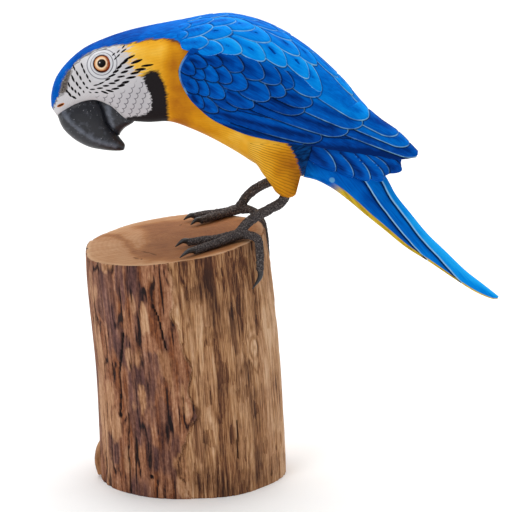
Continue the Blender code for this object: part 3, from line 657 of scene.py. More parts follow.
def tube_points(route, radii, sides, steps):
    """Rings round a smooth route: each ring's circle lies square to the route."""
    table = [(*point, radius) for point, radius in zip(route, radii)]
    rows = trace(table, (len(route) - 1) * steps + 1)
    path, radius = rows[:, :3], rows[:, 3]
    ahead = np.gradient(path, axis=0)
    ahead /= np.linalg.norm(ahead, axis=1)[:, None]
    # three shrinking rings close each end in a flattened dome
    cap = np.sin(np.linspace(0.15, 0.5, 4) * np.pi)
    start = path[0] - ahead[0] * radius[0] * np.sqrt(1 - cap[:-1, None] ** 2) * 0.6
    end = path[-1] + ahead[-1] * radius[-1] * np.sqrt(1 - cap[-2::-1, None] ** 2) * 0.6
    path = np.concatenate([start, path, end])
    radius = np.concatenate([radius[0] * cap[:-1], radius, radius[-1] * cap[-2::-1]])
    ahead = np.concatenate([np.tile(ahead[0], (3, 1)), ahead, np.tile(ahead[-1], (3, 1))])
    right = np.cross(ahead, (0.0, 1.0, 0.0))
    right /= np.linalg.norm(right, axis=1)[:, None]
    over = np.cross(right, ahead)
    turn = round_turns(sides)[:, None]
    circle = right[:, None] * np.cos(turn) + over[:, None] * np.sin(turn)
    return path[:, None] + circle * radius[:, None, None]


# ---------------------------------------------------------------- materials

# Blue emulsion from its shade in the cuts to its brightest thin brushing.
BLUE_STOPS = [(0.0, "#002668"), (0.2, "#00429C"), (0.4, "#005EC2"), (0.6, "#007ADF"),
              (0.8, "#0694F4"), (1.0, "#1EACFE")]


def colour(code):
    """Linear colour of an sRGB hex code."""
    parts = np.array([int(code[i:i + 2], 16) for i in (1, 3, 5)]) / 255
    linear = np.where(parts <= 0.04045, parts / 12.92, ((parts + 0.055) / 1.055) ** 2.4)
    return (*linear.tolist(), 1.0)


def add(coat, kind, *values, out=0, ramp=(), **named):
    """Adds one node to a coat, with its operation after its kind, and gives its output
    `out`.

    `values` go to its first inputs in order, capitalised names to the inputs so named,
    and the other names are its settings. A socket is linked, and None is left alone.
    """
    kind, _, operation = kind.partition(" ")
    node = coat.node_tree.nodes.new("ShaderNode" + kind)
    if operation:
        node.operation = operation
    inputs = dict(enumerate(values))
    for key, value in named.items():
        if key[0].isupper():
            inputs[key.replace("_", " ")] = value
        else:
            setattr(node, key, value)
    if ramp:
        stops = node.color_ramp.elements
        for _ in ramp[2:]:
            stops.new(1.0)
        for stop, (position, code) in zip(stops, ramp):
            stop.position, stop.color = position, colour(code)
    for key, value in inputs.items():
        if isinstance(value, bpy.types.NodeSocket):
            coat.node_tree.links.new(value, node.inputs[key])
        elif value is not None:
            node.inputs[key].default_value = value
    return node.outputs[out] if node.outputs else None


def new_coat(name, marks=""):
    """A material with only its sources: the place on the piece, and the value there of
    each mark that its mesh carries."""
    coat = bpy.data.materials.new(name)
    coat.use_nodes = True
    coat.node_tree.nodes.clear()
    spot = add(coat, "TexCoord", out="Object")
    return coat, spot, *[add(coat, "Attribute", out="Fac", attribute_name=mark)
                         for mark in marks.split()]


def seal(coat, paint, relief=None, **gloss):
    """Joins a coat's colour, relief and gloss in one Principled shader."""
    shader = add(coat, "BsdfPrincipled", Base_Color=paint, Normal=relief, **gloss)
    add(coat, "OutputMaterial", shader)
    return coat


def streaks(coat, spot, size, turn, **noise):
    """Random streaks: noise stretched to a size in millimetres and turned by degrees
    about X, Y and Z."""
    lie = add(coat, "Mapping", spot, Rotation=np.radians(turn).tolist(),
              Scale=[side * MM for side in size], vector_type="TEXTURE")
    return add(coat, "TexNoise", lie, Scale=1.0, **noise)


def lay_paints(coat, ground, *layers):
    """Paints over a ground colour: each is laid where its amount says."""
    unused = [None] * 5           # a mix node's sockets for numbers and vectors
    for amount, paint in layers:
        paint = colour(paint) if isinstance(paint, str) else paint
        ground = add(coat, "Mix", amount, *unused, ground, paint, out=2, data_type="RGBA")
    return ground


def feather_paint():
    """Blue emulsion on carved wood under satin varnish: streaky brush marks along the feathers,
    navy in the cuts as a dark line and painted shade, a dark streak down each quill and a pale line at its
    tip."""
    coat, spot, rim, groove, line, core, tone = new_coat(
        "blue_paint_satin_varnish", "rim groove line core tone")
    # bristle marks 1 to 2 mm wide and 12 mm long, lying with the feathers
    bristle = streaks(coat, spot, (12, 2, 1), (0, 30, 0), Detail=3.0, Roughness=0.65)
    # thin and thick patches of paint, 8 mm across
    patch = add(coat, "TexNoise", spot, Scale=125.0, Detail=2.0)
    drift = tone
    for value, share in ((bristle, 0.5), (patch, 0.24), (core, -0.26)):
        drift = add(coat, "Math MULTIPLY_ADD", value, share, drift)
    drift = add(coat, "Math SUBTRACT", drift, 0.4)
    blue = add(coat, "ValToRGB", drift, ramp=BLUE_STOPS)
    # navy in the cut outside each feather: a dark painted line and painted shade, weaker on bright feathers
    cut_line_and_shade = add(coat, "MapRange", groove, 0.35, 1.35, 0.92, 0.0)
    soft = add(coat, "MapRange", tone, 0.45, 0.75, 1.0, 0.45)
    cut_line_and_shade = add(coat, "Math MULTIPLY", cut_line_and_shade, soft)
    edge = add(coat, "MapRange", rim, 0.14, 0.42, 1.0, 0.0)
    worn = add(coat, "MapRange", patch, 0.38, 0.62, 0.35, 1.0)
    edge = add(coat, "Math MULTIPLY", edge, line)
    edge = add(coat, "Math MULTIPLY", edge, worn)
    paint = lay_paints(coat, blue, (cut_line_and_shade, "#01122F"), (edge, "#94D0F4"))
    relief = add(coat, "Bump", Height=bristle, Strength=0.5, Distance=0.2 * MM)
    return seal(coat, paint, relief, Roughness=0.42, Specular_IOR_Level=0.022)


def tail_paint():
    """The same blue emulsion on the long tail feathers: each overlap has a pale line
    with navy shade below it, and the underside and its edge are yellow."""
    coat, spot, upper, lower, tone, under, dot = new_coat("tail_paint_satin_varnish",
                                                          "upper_gap lower_gap tone under dot")
    # bristle marks 1 to 2 mm wide and 16 mm long, lying along the tail
    bristle = streaks(coat, spot, (16, 2, 1), (0, 50, 0), Detail=3.0, Roughness=0.65)
    drift = add(coat, "Math MULTIPLY_ADD", bristle, 0.5, tone)
    drift = add(coat, "Math SUBTRACT", drift, 0.25)
    blue = add(coat, "ValToRGB", drift, ramp=BLUE_STOPS)
    yellow = add(coat, "ValToRGB", bristle, ramp=[(0.3, "#A88A26"), (0.5, "#D6B32A"), (0.7, "#F0CE44")])
    layers = [(under, yellow)]
    for gap in (upper, lower):
        navy = add(coat, "MapRange", gap, -1.5, -0.5, 0.0, 0.9)
        over = add(coat, "MapRange", gap, -0.2, 0.1, 1.0, 0.0)
        navy = add(coat, "Math MULTIPLY", navy, over)
        away = add(coat, "Math SUBTRACT", gap, 0.3)
        away = add(coat, "Math ABSOLUTE", away)
        line = add(coat, "MapRange", away, 0.15, 0.45, 0.85, 0.0)
        layers += [(navy, "#01122F"), (line, "#9CD2F2")]
    drop = add(coat, "MapRange", dot, 1.6, 2.2, 0.8, 0.0)
    paint = lay_paints(coat, blue, *layers, (drop, "#6FB2E0"))
    relief = add(coat, "Bump", Height=bristle, Strength=0.5, Distance=0.2 * MM)
    return seal(coat, paint, relief, Roughness=0.42, Specular_IOR_Level=0.022)


def body_paint():
    """Yellow, white, black and blue emulsion on carved wood under satin varnish: ragged
    brushed edges between the fields, black dashes, grey scallops and fine cut lines."""
    (coat, spot, crown, cheek, collar, patch, vent, dash, scaled, nostril, eye_away, burn, girth, combed,
     tone) = new_coat("body_paint_satin_varnish", "crown cheek collar patch vent dash scaled nostril "
                      "eye_away burn girth combed tone")
    # brush ends 1 mm wide and 5 mm long that fray every edge
    bristle = streaks(coat, spot, (5, 1.1, 1.1), (0, -20, 0), Detail=2.0)
    # uneven paint in patches 11 mm across
    cloud = add(coat, "TexNoise", spot, Scale=90.0, Detail=3.0)
    fields = []
    for field, fray, blur in ((collar, 4.5, 1.1), (cheek, 4.0, 0.4), (crown, 2.6, 0.3), (vent, 4.0, 0.6),
                              (patch, 3.4, 0.9)):
        frayed = add(coat, "Math MULTIPLY_ADD", bristle, fray, field)
        fields.append(add(coat, "MapRange", frayed, fray / 2 - blur, fray / 2 + blur))
    black, white, sky, navy_vent, sooty = fields
    # the yellow darkens to orange-brown where marked: partly brown paint, partly painted shade
    shade = add(coat, "Math MULTIPLY_ADD", cloud, 0.5, burn)
    yellow = add(coat, "ValToRGB", shade, ramp=[(0.15, "#FFCE58"), (0.35, "#F7B634"), (0.6, "#DE961C"),
                                                (0.85, "#B46A1A"), (1.0, "#8A4A1A")])
    # lines cut with a parting tool along the feathers, millimetres apart
    spacing = 2.0
    cuts = add(coat, "Math MULTIPLY_ADD", cloud, 3.0, girth)
    cuts = add(coat, "Math PINGPONG", cuts, spacing / 2)
    # painted shade darkens each cut line
    cut_shade = add(coat, "MapRange", cuts, 0.12, 0.5, 1.0, 0.0)
    cut_shade = add(coat, "Math MULTIPLY", cut_shade, combed)
    # dark brush ends just outside the crown, with painted shade along its edge
    ticks_and_shade = add(coat, "Math MULTIPLY_ADD", bristle, 5.0, crown)
    ticks_and_shade = add(coat, "MapRange", ticks_and_shade, 1.3, 2.1, 0.0, 0.75)
    drift = add(coat, "Math MULTIPLY_ADD", bristle, 0.5, tone)
    drift = add(coat, "Math MULTIPLY_ADD", cloud, 0.24, drift)
    drift = add(coat, "Math SUBTRACT", drift, 0.4)
    blue = add(coat, "ValToRGB", drift, ramp=BLUE_STOPS)
    navy = add(coat, "ValToRGB", bristle, ramp=[(0.35, "#021A40"), (0.65, "#06407E")])
    smoke = add(coat, "ValToRGB", bristle, ramp=[(0.35, "#3A3434"), (0.65, "#7C746E")])
    # dark rings round the eye, painted lines with painted shade in the carved ring grooves, on white made
    # whiter near the eye, partly a painted highlight
    rings = add(coat, "Math PINGPONG", eye_away, EYE_RING_STEP / 2)
    rings = add(coat, "MapRange", rings, 0.14, 0.42, 0.95, 0.0)
    whiter_and_highlit = add(coat, "MapRange", eye_away, 8.0, 14.0, 0.75, 0.0)
    reach = add(coat, "MapRange", eye_away, 11.4, 12.4, 1.0, 0.0)
    rings = add(coat, "Math MULTIPLY", rings, reach)
    # scales drawn as half rings, in rows that shift by one radius, in millimetres
    radius, pitch = 2.0, 4.8
    rows = add(coat, "Mapping", spot, Rotation=np.radians((0, 22, 0)).tolist(), Scale=(MM, MM, MM),
               vector_type="TEXTURE")
    rows = add(coat, "SeparateXYZ", rows).node.outputs
    along = add(coat, "Math MULTIPLY_ADD", cloud, 2.2, rows["X"])
    ahead = add(coat, "Math FLOORED_MODULO", along, pitch)
    row = add(coat, "Math DIVIDE", along, pitch)
    row = add(coat, "Math FLOOR", row)
    across = add(coat, "Math MULTIPLY_ADD", row, radius, rows["Z"])
    across = add(coat, "Math PINGPONG", across, radius)
    scallops = add(coat, "CombineXYZ", ahead, across)
    scallops = add(coat, "VectorMath LENGTH", scallops, out="Value")
    scallops = add(coat, "Math SUBTRACT", scallops, radius)
    scallops = add(coat, "Math ABSOLUTE", scallops)
    scallops = add(coat, "MapRange", scallops, 0.12, 0.42, 0.95, 0.0)
    # the white greys deeper into the scaled cheek, a painted shade
    greyed = add(coat, "MapRange", scaled, -3.0, 6.0, 0.0, 0.4)
    scaled = add(coat, "MapRange", scaled, -0.5, 2.0)
    scallops = add(coat, "Math MULTIPLY", scallops, scaled)
    greyed = add(coat, "Math MULTIPLY", greyed, white)
    scallops = add(coat, "Math MULTIPLY", scallops, white)
    dashes = add(coat, "MapRange", dash, -0.1, 0.1)
    lips = add(coat, "MapRange", nostril, -0.1, 0.25)
    slit = add(coat, "MapRange", nostril, 0.45, 0.75)
    paint = lay_paints(
        coat, yellow, (cut_shade, "#8A5814"), (black, "#262224"), (white, "#D2CFD2"), (greyed, "#B0ABB2"),
        (scallops, "#6C6970"), (whiter_and_highlit, "#E4E5EA"), (rings, "#6E6C76"), (ticks_and_shade, "#3A3836"), (sky, blue),
        (navy_vent, navy), (sooty, smoke), (dashes, "#140F11"), (lips, "#C8742C"), (slit, "#3A2016"))
    relief = add(coat, "Bump", Height=cuts, Strength=0.2, Distance=0.4 * MM)
    return seal(coat, paint, relief, Roughness=0.5, Specular_IOR_Level=0.02)


def beak_paint():
    """Black satin lacquer over smooth wood: a blue-grey bloom along the ridges, partly
    rubbed lacquer and partly a painted highlight, and a few dust specks under the lacquer."""
    coat, spot, ridge = new_coat("black_satin_lacquer", "ridge")
    # rubbed and highlit patches 4 mm across and specks 1 mm across
    cloud = add(coat, "TexNoise", spot, Scale=260.0, Detail=5.0, Roughness=0.65)
    rubbed_and_highlit = add(coat, "Math MULTIPLY_ADD", cloud, 2.2, ridge)
    rubbed_and_highlit = add(coat, "MapRange", rubbed_and_highlit, 1.2, 2.3, 0.0, 0.8)
    grit = add(coat, "TexNoise", spot, Scale=900.0, Detail=1.0)
    grit = add(coat, "MapRange", grit, 0.72, 0.76, 0.0, 0.7)
    paint = lay_paints(coat, colour("#212229"), (rubbed_and_highlit, "#6E7482"), (grit, "#B2B2B8"))
    relief = add(coat, "Bump", Height=cloud, Strength=0.25, Distance=0.4 * MM)
    return seal(coat, paint, relief, Roughness=0.36, Specular_IOR_Level=0.4)


def claw_paint():
    """Black satin lacquer brushed over a whittled point: faint marks 1.4 mm across."""
    coat, spot = new_coat("black_lacquer_claw")
    mark = add(coat, "TexNoise", spot, Scale=700.0, Detail=2.0)
    paint = add(coat, "ValToRGB", mark, ramp=[(0.35, "#1C1A1C"), (0.7, "#34302F")])
    return seal(coat, paint, Roughness=0.38)


def eye_paint():
    """Gloss enamel in rings: brown outline, orange, cream, and a black pupil with a dot
    of white."""
    coat, spot, away, glint, amber = new_coat("gloss_enamel_eye", "away glint amber")
    # the brush wavers over 1.7 mm
    cloud = add(coat, "TexNoise", spot, Scale=600.0, Detail=2.0)
    wander = add(coat, "Math MULTIPLY_ADD", cloud, 0.05, away)
    rings = add(coat, "ValToRGB", wander, ramp=[
        (0.42, "#0B0808"), (0.48, "#3A1A12"), (0.53, "#F6D2A8"), (0.62, "#FBE0C0"),
        (0.76, "#E9B07A"), (0.84, "#C07440"), (0.89, "#42190F"), (1.0, "#2A110C")])
    browned = add(coat, "Math MULTIPLY", cloud, amber)
    iris = add(coat, "MapRange", wander, 0.56, 0.72, 0.0, 1.5)
    browned = add(coat, "Math MULTIPLY", browned, iris)
    shine = add(coat, "MapRange", glint, 0.32, 0.5, 1.0, 0.0)
    paint = lay_paints(coat, rings, (browned, "#8A3414"), (shine, "#D4D2D8"))
    return seal(coat, paint, Roughness=0.3, Specular_IOR_Level=0.08)


def paste_coat():
    """Wire coated with grey filler paste, rough as coarse sandpaper, its grains dark
    low down and pale where they stand highest."""
    coat, spot = new_coat("grey_paste_coat")
    # grains 0.9 mm across
    grain = add(coat, "TexNoise", spot, Scale=1100.0, Detail=2.0)
    paint = add(coat, "ValToRGB", grain, ramp=[(0.3, "#262120"), (0.5, "#433D3D"), (0.62, "#5F5857"),
                                               (0.75, "#8C827D")])
    relief = add(coat, "Bump", Height=grain, Strength=0.9, Distance=0.6 * MM)
    return seal(coat, paint, relief, Roughness=0.85, Specular_IOR_Level=0.3)


def log_wood():
    """Bare weathered teak. The top is sawn: tan heartwood inside paler sapwood. The sides
    are split: tan and umber fibres on the right, and on the left a torn outer layer in
    brown, rust and bark-stained purple, with pale flakes, and cracks and beetle holes
    painted dark as the shade in them. The side's tones darken with painted shade in the hollows."""
    coat, spot, sawn, outer, hollow, stain, flake, crack, heart = new_coat(
        "bare_teak_log", "sawn outer hollow stain flake crack heart")
    lean = (0, -3.7, 0)
    # fibres 0.7 mm wide and 17 mm long, leaning with the log
    fibre = streaks(coat, spot, (0.7, 0.7, 17), lean, Detail=4.0, Roughness=0.7)
    # strips of the split faces, 4 mm wide and 35 mm long
    strip = streaks(coat, spot, (4, 4, 35), lean, Detail=3.0, Distortion=0.3)
    # grime in patches 20 mm across
    grime = add(coat, "TexNoise", spot, Scale=50.0, Detail=4.0, Roughness=0.65)
    # crumbs of rotten wood 1.5 mm across and 3 mm long
    crumbs = streaks(coat, spot, (1.5, 1.5, 3), lean, Detail=3.0, Roughness=0.6)
    # tooth marks of the saw, 1.2 mm wide and 16 mm long
    saw = streaks(coat, spot, (16, 1.2, 16), (0, 0, 12), Detail=3.0)
    dark = even = hollow
    for value, share in ((fibre, 0.6), (strip, 0.65), (crumbs, 0.4)):
        dark = add(coat, "Math MULTIPLY_ADD", value, share, dark)
    for value, share in ((fibre, 0.9), (strip, 0.35)):
        even = add(coat, "Math MULTIPLY_ADD", value, share, even)
    face = add(coat, "Math MULTIPLY_ADD", saw, 0.3, heart)
    face = add(coat, "Math MULTIPLY_ADD", grime, 0.3, face)
    tan, umber, brown, rust, pale, bark, face = [add(coat, "ValToRGB", tone, ramp=stops) for tone, stops in (
        (even, [(0.43, "#E6C09C"), (0.56, "#CC9C72"), (0.66, "#B08055"), (0.76, "#855536"),
                (0.86, "#4A2A1C")]),
        (even, [(0.43, "#B88058"), (0.57, "#845434"), (0.69, "#5A3624"), (0.82, "#281814")]),
        (dark, [(0.45, "#D8A888"), (0.64, "#AE7856"), (0.78, "#88563C"), (0.9, "#583426"), (1.0, "#261511")]),
        (dark, [(0.45, "#D8965E"), (0.66, "#A66236"), (0.86, "#66361E"), (1.0, "#2C1812")]),
        (dark, [(0.45, "#E4BE9A"), (0.66, "#CC9C76"), (0.84, "#A9764F"), (1.0, "#5E3A28")]),
        (dark, [(0.45, "#A87C6C"), (0.62, "#764E46"), (0.8, "#4C302E"), (1.0, "#1E1214")]),
        (face, [(0.2, "#DDBB9C"), (0.4, "#C79C76"), (0.6, "#AA7448"), (0.8, "#8A5836"), (1.0, "#4E3028")]))]
    rusty = add(coat, "MapRange", strip, 0.53, 0.62, 0.0, 0.85)
    warmed = add(coat, "MapRange", grime, 0.48, 0.68, 0.0, 0.6)
    brown = lay_paints(coat, brown, (rusty, rust), (stain, bark), (flake, pale))
    tan = lay_paints(coat, tan, (warmed, umber), (stain, umber), (flake, pale))
    # cracks and beetle holes painted near black, the shade in them
    paint = lay_paints(coat, tan, (outer, brown), (sawn, face), (crack, "#1E1412"))
    relief = add(coat, "Bump", Height=saw, Strength=0.3, Distance=0.4 * MM)
    relief = add(coat, "Bump", Height=fibre, Strength=0.8, Distance=0.9 * MM, Normal=relief)
    return seal(coat, paint, relief, Roughness=0.72, Specular_IOR_Level=0.25)


# ---------------------------------------------------------------- the bird

def stretch_over_thighs(points, middles):
    """Moves skin points out along their rays until they lie on body and thighs together.

    Each ray starts well outside the body and steps inwards by the smaller of the two
    distances, eased together where they are nearly the same.
    """
    start, easing, rounding, steps = 24.0, 7.0, 2.0, 60
    ray = points - middles
    reach = np.linalg.norm(ray, axis=-1)
    ray /= np.maximum(reach, 1e-6)[..., None]
    far = reach + start
    for _ in range(steps):
        spots = middles + ray * far[..., None]
        share = np.interp(-spots[..., 2], [-row[2] for row in THIGH], range(len(THIGH)))
        row = read_rows(THIGH, share)
        away = np.abs(spots[..., 1] - BIRD_Y)
        oval = np.hypot((spots[..., 0] - row[..., 0]) / row[..., 3], (away - row[..., 1]) / row[..., 4])
        thigh = (oval - 1.0) * np.sqrt(row[..., 3] * row[..., 4])
        under = np.maximum(THIGH[-1][2] - spots[..., 2], spots[..., 2] - THIGH[0][2])
        thigh = np.hypot(np.maximum(thigh + rounding, 0.0), np.maximum(under + rounding, 0.0)) - rounding
        body = far - reach
        blend = np.clip(0.5 + (thigh - body) / (2 * easing), 0.0, 1.0)
        distance = thigh * (1 - blend) + body * blend - easing * blend * (1 - blend)
        far = far - 0.8 * np.maximum(distance, -0.2)
    return middles + ray * np.maximum(far, reach)[..., None]


def nape_tone(x):
    """How bright the blue is along the top of the head and neck, brighter to the rear, and lighter again at
    the front of the crown, a painted highlight.
    """
    return 0.27 + 0.27 * ease(-50.0, 0.0, x) + 0.12 * (1.0 - ease(-84.0, -70.0, x))


def body_skin(finish):
    """Head, neck, trunk and thighs as one skin: ovals on the body's rows, pushed out
    over the thighs, with a lid ring round each eye."""
    # rows lie closer together on the head
    places = np.concatenate([np.linspace(0.0, HEAD_ROW, 200), np.linspace(HEAD_ROW, VENT_ROW, 121)[1:]])
    s, t = np.meshgrid(places, round_turns(280), indexing="ij")
    cover = read_rows(BODY, s)[..., 5] * ease(TRUNK_ROW - 0.3, TRUNK_ROW + 0.6, s)
    points = body_surface(s, t, top=-cover)
    middles = np.broadcast_to(points.mean(axis=1, keepdims=True), points.shape)
    points = np.where((s > 9.5)[..., None], stretch_over_thighs(points, middles), points)
    x, z = points[..., 0], points[..., 2]
    away = np.abs(points[..., 1] - BIRD_Y)
    chart = np.stack([x, z], axis=-1)
    eye_away = np.linalg.norm(np.stack([x - EYE_AT[0], away - EYE_AT[1], z - EYE_AT[2]], axis=-1), axis=-1)
    # a lid ring 1 mm outside the dome, and shallow rings cut round it
    lid = 0.5 * np.exp(-((eye_away - EYE_RADIUS - 1.0) / 0.55) ** 2)
    lid = lid - 0.1 * np.cos(eye_away * 2 * np.pi / EYE_RING_STEP) * (1.0 - ease(11.0, 12.5, eye_away))
    lid = lid * (eye_away > 5.0)
    # the cuts run where the way round from the ridge is a whole number of spacings, and
    # on the thighs along rays from one point
    edge = np.linalg.norm(np.roll(points, -1, axis=1) - points, axis=-1)
    girth = np.cumsum(edge, axis=1)
    girth = np.minimum(girth, girth[:, -1:] - girth)
    fan = THIGH_SPREAD * np.arctan2(x - THIGH_FAN[0], THIGH_FAN[1] - z)
    on_thigh = ease(33.0, 40.0, x) * (1.0 - ease(230.0, 238.0, z))
    girth = girth + (fan - girth) * on_thigh
    points = carve(points, lid - 0.15)
    crown = CROWN_EDGE + [(10.0, 289.0), (40.0, 285.0), (60.0, 340.0), (-130.0, 340.0), (-130.0, 249.0)]
    under_crown = [(px - 2.0, pz + 4.0) for px, pz in CROWN_EDGE[:11]]
    face = [(-96.0, 243.0)] + under_crown + CHEEK_EDGE + [(-46.0, 236.0), (-93.0, 236.0)]
    blurred = 1.0 - 0.82 * ease(269.0, 277.0, z) * ease(-64.0, -54.0, x)
    dash = np.full(x.shape, -FAR)
    for xa, za, xb, zb, width in DASHES:
        heading = np.degrees(np.arctan2(zb - za, xb - xa))
        half = 0.5 * np.hypot(xb - xa, zb - za) + 0.4
        depth = oval_depth(chart, ((xa + xb) / 2, (za + zb) / 2), heading, half, 0.5 * width + 0.2, 1.6)
        dash = np.maximum(dash, depth)
    # darker orange-brown on the yellow: brown paint behind the collar and along the crown's edge, painted
    # shade in front of the wing and on the thighs under the body; lighter again on the belly
    burn = (0.2 * ease(-30.0, -12.0, x) * (1.0 - ease(284.0, 297.0, z)) + 0.32 * ease(-18.0, -9.0, x)
            - 0.14 * ease(-4.0, 6.0, x) - 0.36 * ease(4.0, 36.0, x)
            + 0.5 * ease(42.0, 68.0, x) * (1.0 - ease(220.0, 240.0, z)))
    burn = burn + 0.4 * np.exp(field_depth(chart, crown) / 2.5) * ease(-44.0, -20.0, x)
    combed = 0.06 + 0.12 * ease(4.0, 30.0, x) + 0.38 * on_thigh
    combed = combed * (1.0 - 4.0 * on_thigh * (1.0 - on_thigh))
    marks = {
        "crown": field_depth(chart, crown), "cheek": field_depth(chart, face) * blurred,
        "collar": field_depth(chart, COLLAR_EDGE), "patch": field_depth(chart, FOREHEAD_PATCH),
        "vent": field_depth(chart, VENT_EDGE), "scaled": field_depth(chart, SCALE_FIELD),
        "nostril": oval_depth(chart, NOSTRIL_AT, NOSTRIL_TILT, 3.0, 1.15), "dash": dash,
        "tone": nape_tone(x), "eye_away": eye_away, "burn": burn, "girth": girth, "combed": combed,
    }
    marks = {key: np.clip(values, -FAR, 200.0) for key, values in marks.items()}
    grid_mesh("body_skin", points, finish, marks, ("head", "neck", "trunk", "thigh_left", "thigh_right"))


def wing_limits(places):
    """Turns at which each body row enters and leaves the wing, from the top down."""
    outline = trace(WING_EDGE, 120)
    row, up = find_row(outline[:, 0], outline[:, 1])
    front = int(np.argmin(row))
    low = np.interp(places, row[front:], up[front:])
    cape = trace(CAPE_EDGE, 90, 1.5)
    cape_row, cape_up = find_row(cape[:, 0], cape[:, 1])
    upper_row = np.concatenate([row[:front + 1][::-1], cape_row[cape_row > row[0]]])
    upper_up = np.concatenate([up[:front + 1][::-1], cape_up[cape_row > row[0]]])
    high = np.interp(places, upper_row, upper_up) + 0.1 * ease(9.0, 10.0, places)
    high = high + ease(15.2, 16.0, places) * (1.0 - high)
    return turn_of(np.minimum(high, 1.0)), turn_of(low), row[front]


def wing(which, side, finish):
    """A folded wing: a carved outer face on the body's ovals, a rounded lower edge and
    a flat inner face."""
    _, _, front = wing_limits(np.array([10.0]))
    places = front + (TIP_ROW - front) * np.linspace(0.0, 1.0, 420) ** 1.25
    top, low, _ = wing_limits(places)
    turns = top[:, None] + (low - top)[:, None] * np.linspace(0.0, 1.0, 165)
    s = np.broadcast_to(places[:, None], turns.shape)
    cover = read_rows(BODY, s)[..., 5]
    outer = body_surface(s, turns, top=-0.3 * cover, side=np.maximum(WING_LIFT * cover, 1.5))
    chart = np.stack([outer[..., 0], outer[..., 2]], axis=-1)
    outline = [tuple(p) for p in trace(WING_EDGE, 60)]
    inset = field_depth(chart, outline + [(175.0, 240.0), (120.0, 330.0), (20.0, 330.0)])
    marks = lay_feathers(chart, WING_FEATHERS, bare=-0.3)
    # a pale edge at the shoulder: paint rubbed off, and a painted highlight where the rounded shoulder
    # catches the light
    rubbed_and_highlit = (inset < 1.5) & (np.abs(chart[..., 1] - 277.0) < 13.0) & (chart[..., 0] < 2.0)
    marks["rim"] = np.where(rubbed_and_highlit, 0.0, marks["rim"])
    bright = 0.4 + 0.5 * ease(56.0, 92.0, chart[..., 0])
    marks["line"] = np.where(rubbed_and_highlit, 0.5, bright * marks["line"])
    marks["tone"] = marks["tone"] + 0.05
    rounding = np.clip(1.0 - inset / 2.2, 0.0, 1.0)
    height = marks["height"] * ease(0.0, 2.5, inset) - 2.2 * (1.0 - np.sqrt(1.0 - rounding ** 2))
    height = np.where(outer[..., 1] - BIRD_Y < 1.2, np.minimum(height, 0.0), height)
    outer = carve(outer, height, wrap=False)
    outer[..., 1] = np.maximum(outer[..., 1], BIRD_Y + 0.2)
    depth = np.interp(outer[..., 0], [x for x, _ in WING_INNER], [y for _, y in WING_INNER])
    depth = BIRD_Y + np.minimum(depth, np.maximum(outer[..., 1] - BIRD_Y - 0.8, 0.15))
    inner = outer[:, ::-6].copy()
    inner[..., 1] = depth[:, ::-6]
    under = outer[:, -1:] + (inner[:, :1] - outer[:, -1:]) * np.linspace(0, 1, 8)[1:-1, None]
    points = np.concatenate([outer, under, inner], axis=1)
    points[..., 1] = BIRD_Y + side * (points[..., 1] - BIRD_Y)
    marks = paint_marks(marks, points.shape[1] - outer.shape[1], 0.1)
    grid_mesh(f"wing_{which}_feathers", points, finish, marks, (f"wing_{which}",))


def cape(finish):
    """The feathers over the back: a shell on the body's ovals whose scalloped edge is
    where its lowest feathers end and it dips under the wings."""
    places = np.linspace(7.5, 16.6, 330)
    outline = trace(CAPE_EDGE, 90)
    edge_row, edge_up = find_row(outline[:, 0], outline[:, 1])
    low = turn_of(np.interp(places, edge_row, edge_up) - 0.16)
    half = 120
    turns = low[:, None] * np.linspace(-1.0, 1.0, 2 * half)
    s = np.broadcast_to(places[:, None], turns.shape)
    cover = read_rows(BODY, s)[..., 5]
    outer = body_surface(s, turns, side=CAPE_LIFT * cover)
    spine = read_rows(BODY, places)[:, 0:2]
    spine_run = np.concatenate([[0.0], np.cumsum(np.linalg.norm(np.diff(spine, axis=0), axis=1))])
    steps = np.linalg.norm(np.diff(outer, axis=1), axis=-1)
    over = np.concatenate([np.zeros((len(places), 1)), np.cumsum(steps, axis=1)], axis=1)
    over -= over[:, -1:] / 2
    chart = np.stack([np.broadcast_to(spine_run[:, None], over.shape), over], axis=-1)
    feathers = []
    for x, z, heading, *shape in CAPE_FEATHERS:
        row, up = find_row(x, z)
        i = int(np.abs(places - row).argmin())
        width = abs(np.interp(float(turn_of(up)), turns[i, half:], over[i, half:]))
        for side in (1, -1):
            feathers.append((spine_run[i], side * width, side * heading, *shape))
    marks = lay_feathers(chart, feathers, bare=-1.0, lip=0.7)
    fade = ease(7.75, 8.2, s)
    within = field_depth(outer[..., [0, 2]], CAPE_EDGE + [(140.0, 300.0), (80.0, 340.0), (-30.0, 340.0)])
    bare = (marks["rim"] >= FAR) | (marks["groove"] < FAR) & (marks["height"] < -0.95)
    height = np.where(bare, -0.6 - 3.0 * ease(-1.5, 1.5, -within), marks["height"])
    height = (height * fade - 0.35 - 2.5 * (1.0 - fade) * ease(-2.5, 1.0, -within)
              - 0.8 * (1.0 - ease(7.5, 7.9, s)))
    outer = carve(outer, height, wrap=False)
    outer[..., 2] = np.minimum(outer[..., 2], CAPE_TOP)
    marks["tone"] = np.where(bare, nape_tone(outer[..., 0]), marks["tone"])
    middle = outer.mean(axis=1, keepdims=True)
    inner = (middle + (outer - middle) * 0.86)[:, ::-8]
    points = np.concatenate([outer, inner], axis=1)
    marks = paint_marks(marks, inner.shape[1], 0.4)
    grid_mesh("cape_feathers", points, finish, marks, ("back",))


def rump(finish):
    """The block over the tail's root: boxy ovals on the rump's rows, carved with feathers."""
    rows, points = table_ovals(RUMP, RUMP_SQUARE, 190, 300)
    marks = lay_feathers(points[..., [0, 2]], RUMP_FEATHERS, bare=-2.4, lip=0.7)
    height = np.where(rows[..., 4] > 6.0, marks["height"], np.minimum(marks["height"], 0.0))
    points = carve(points, height - 0.2)
    grid_mesh("rump_feathers", points, finish, paint_marks(marks), ("rump",))


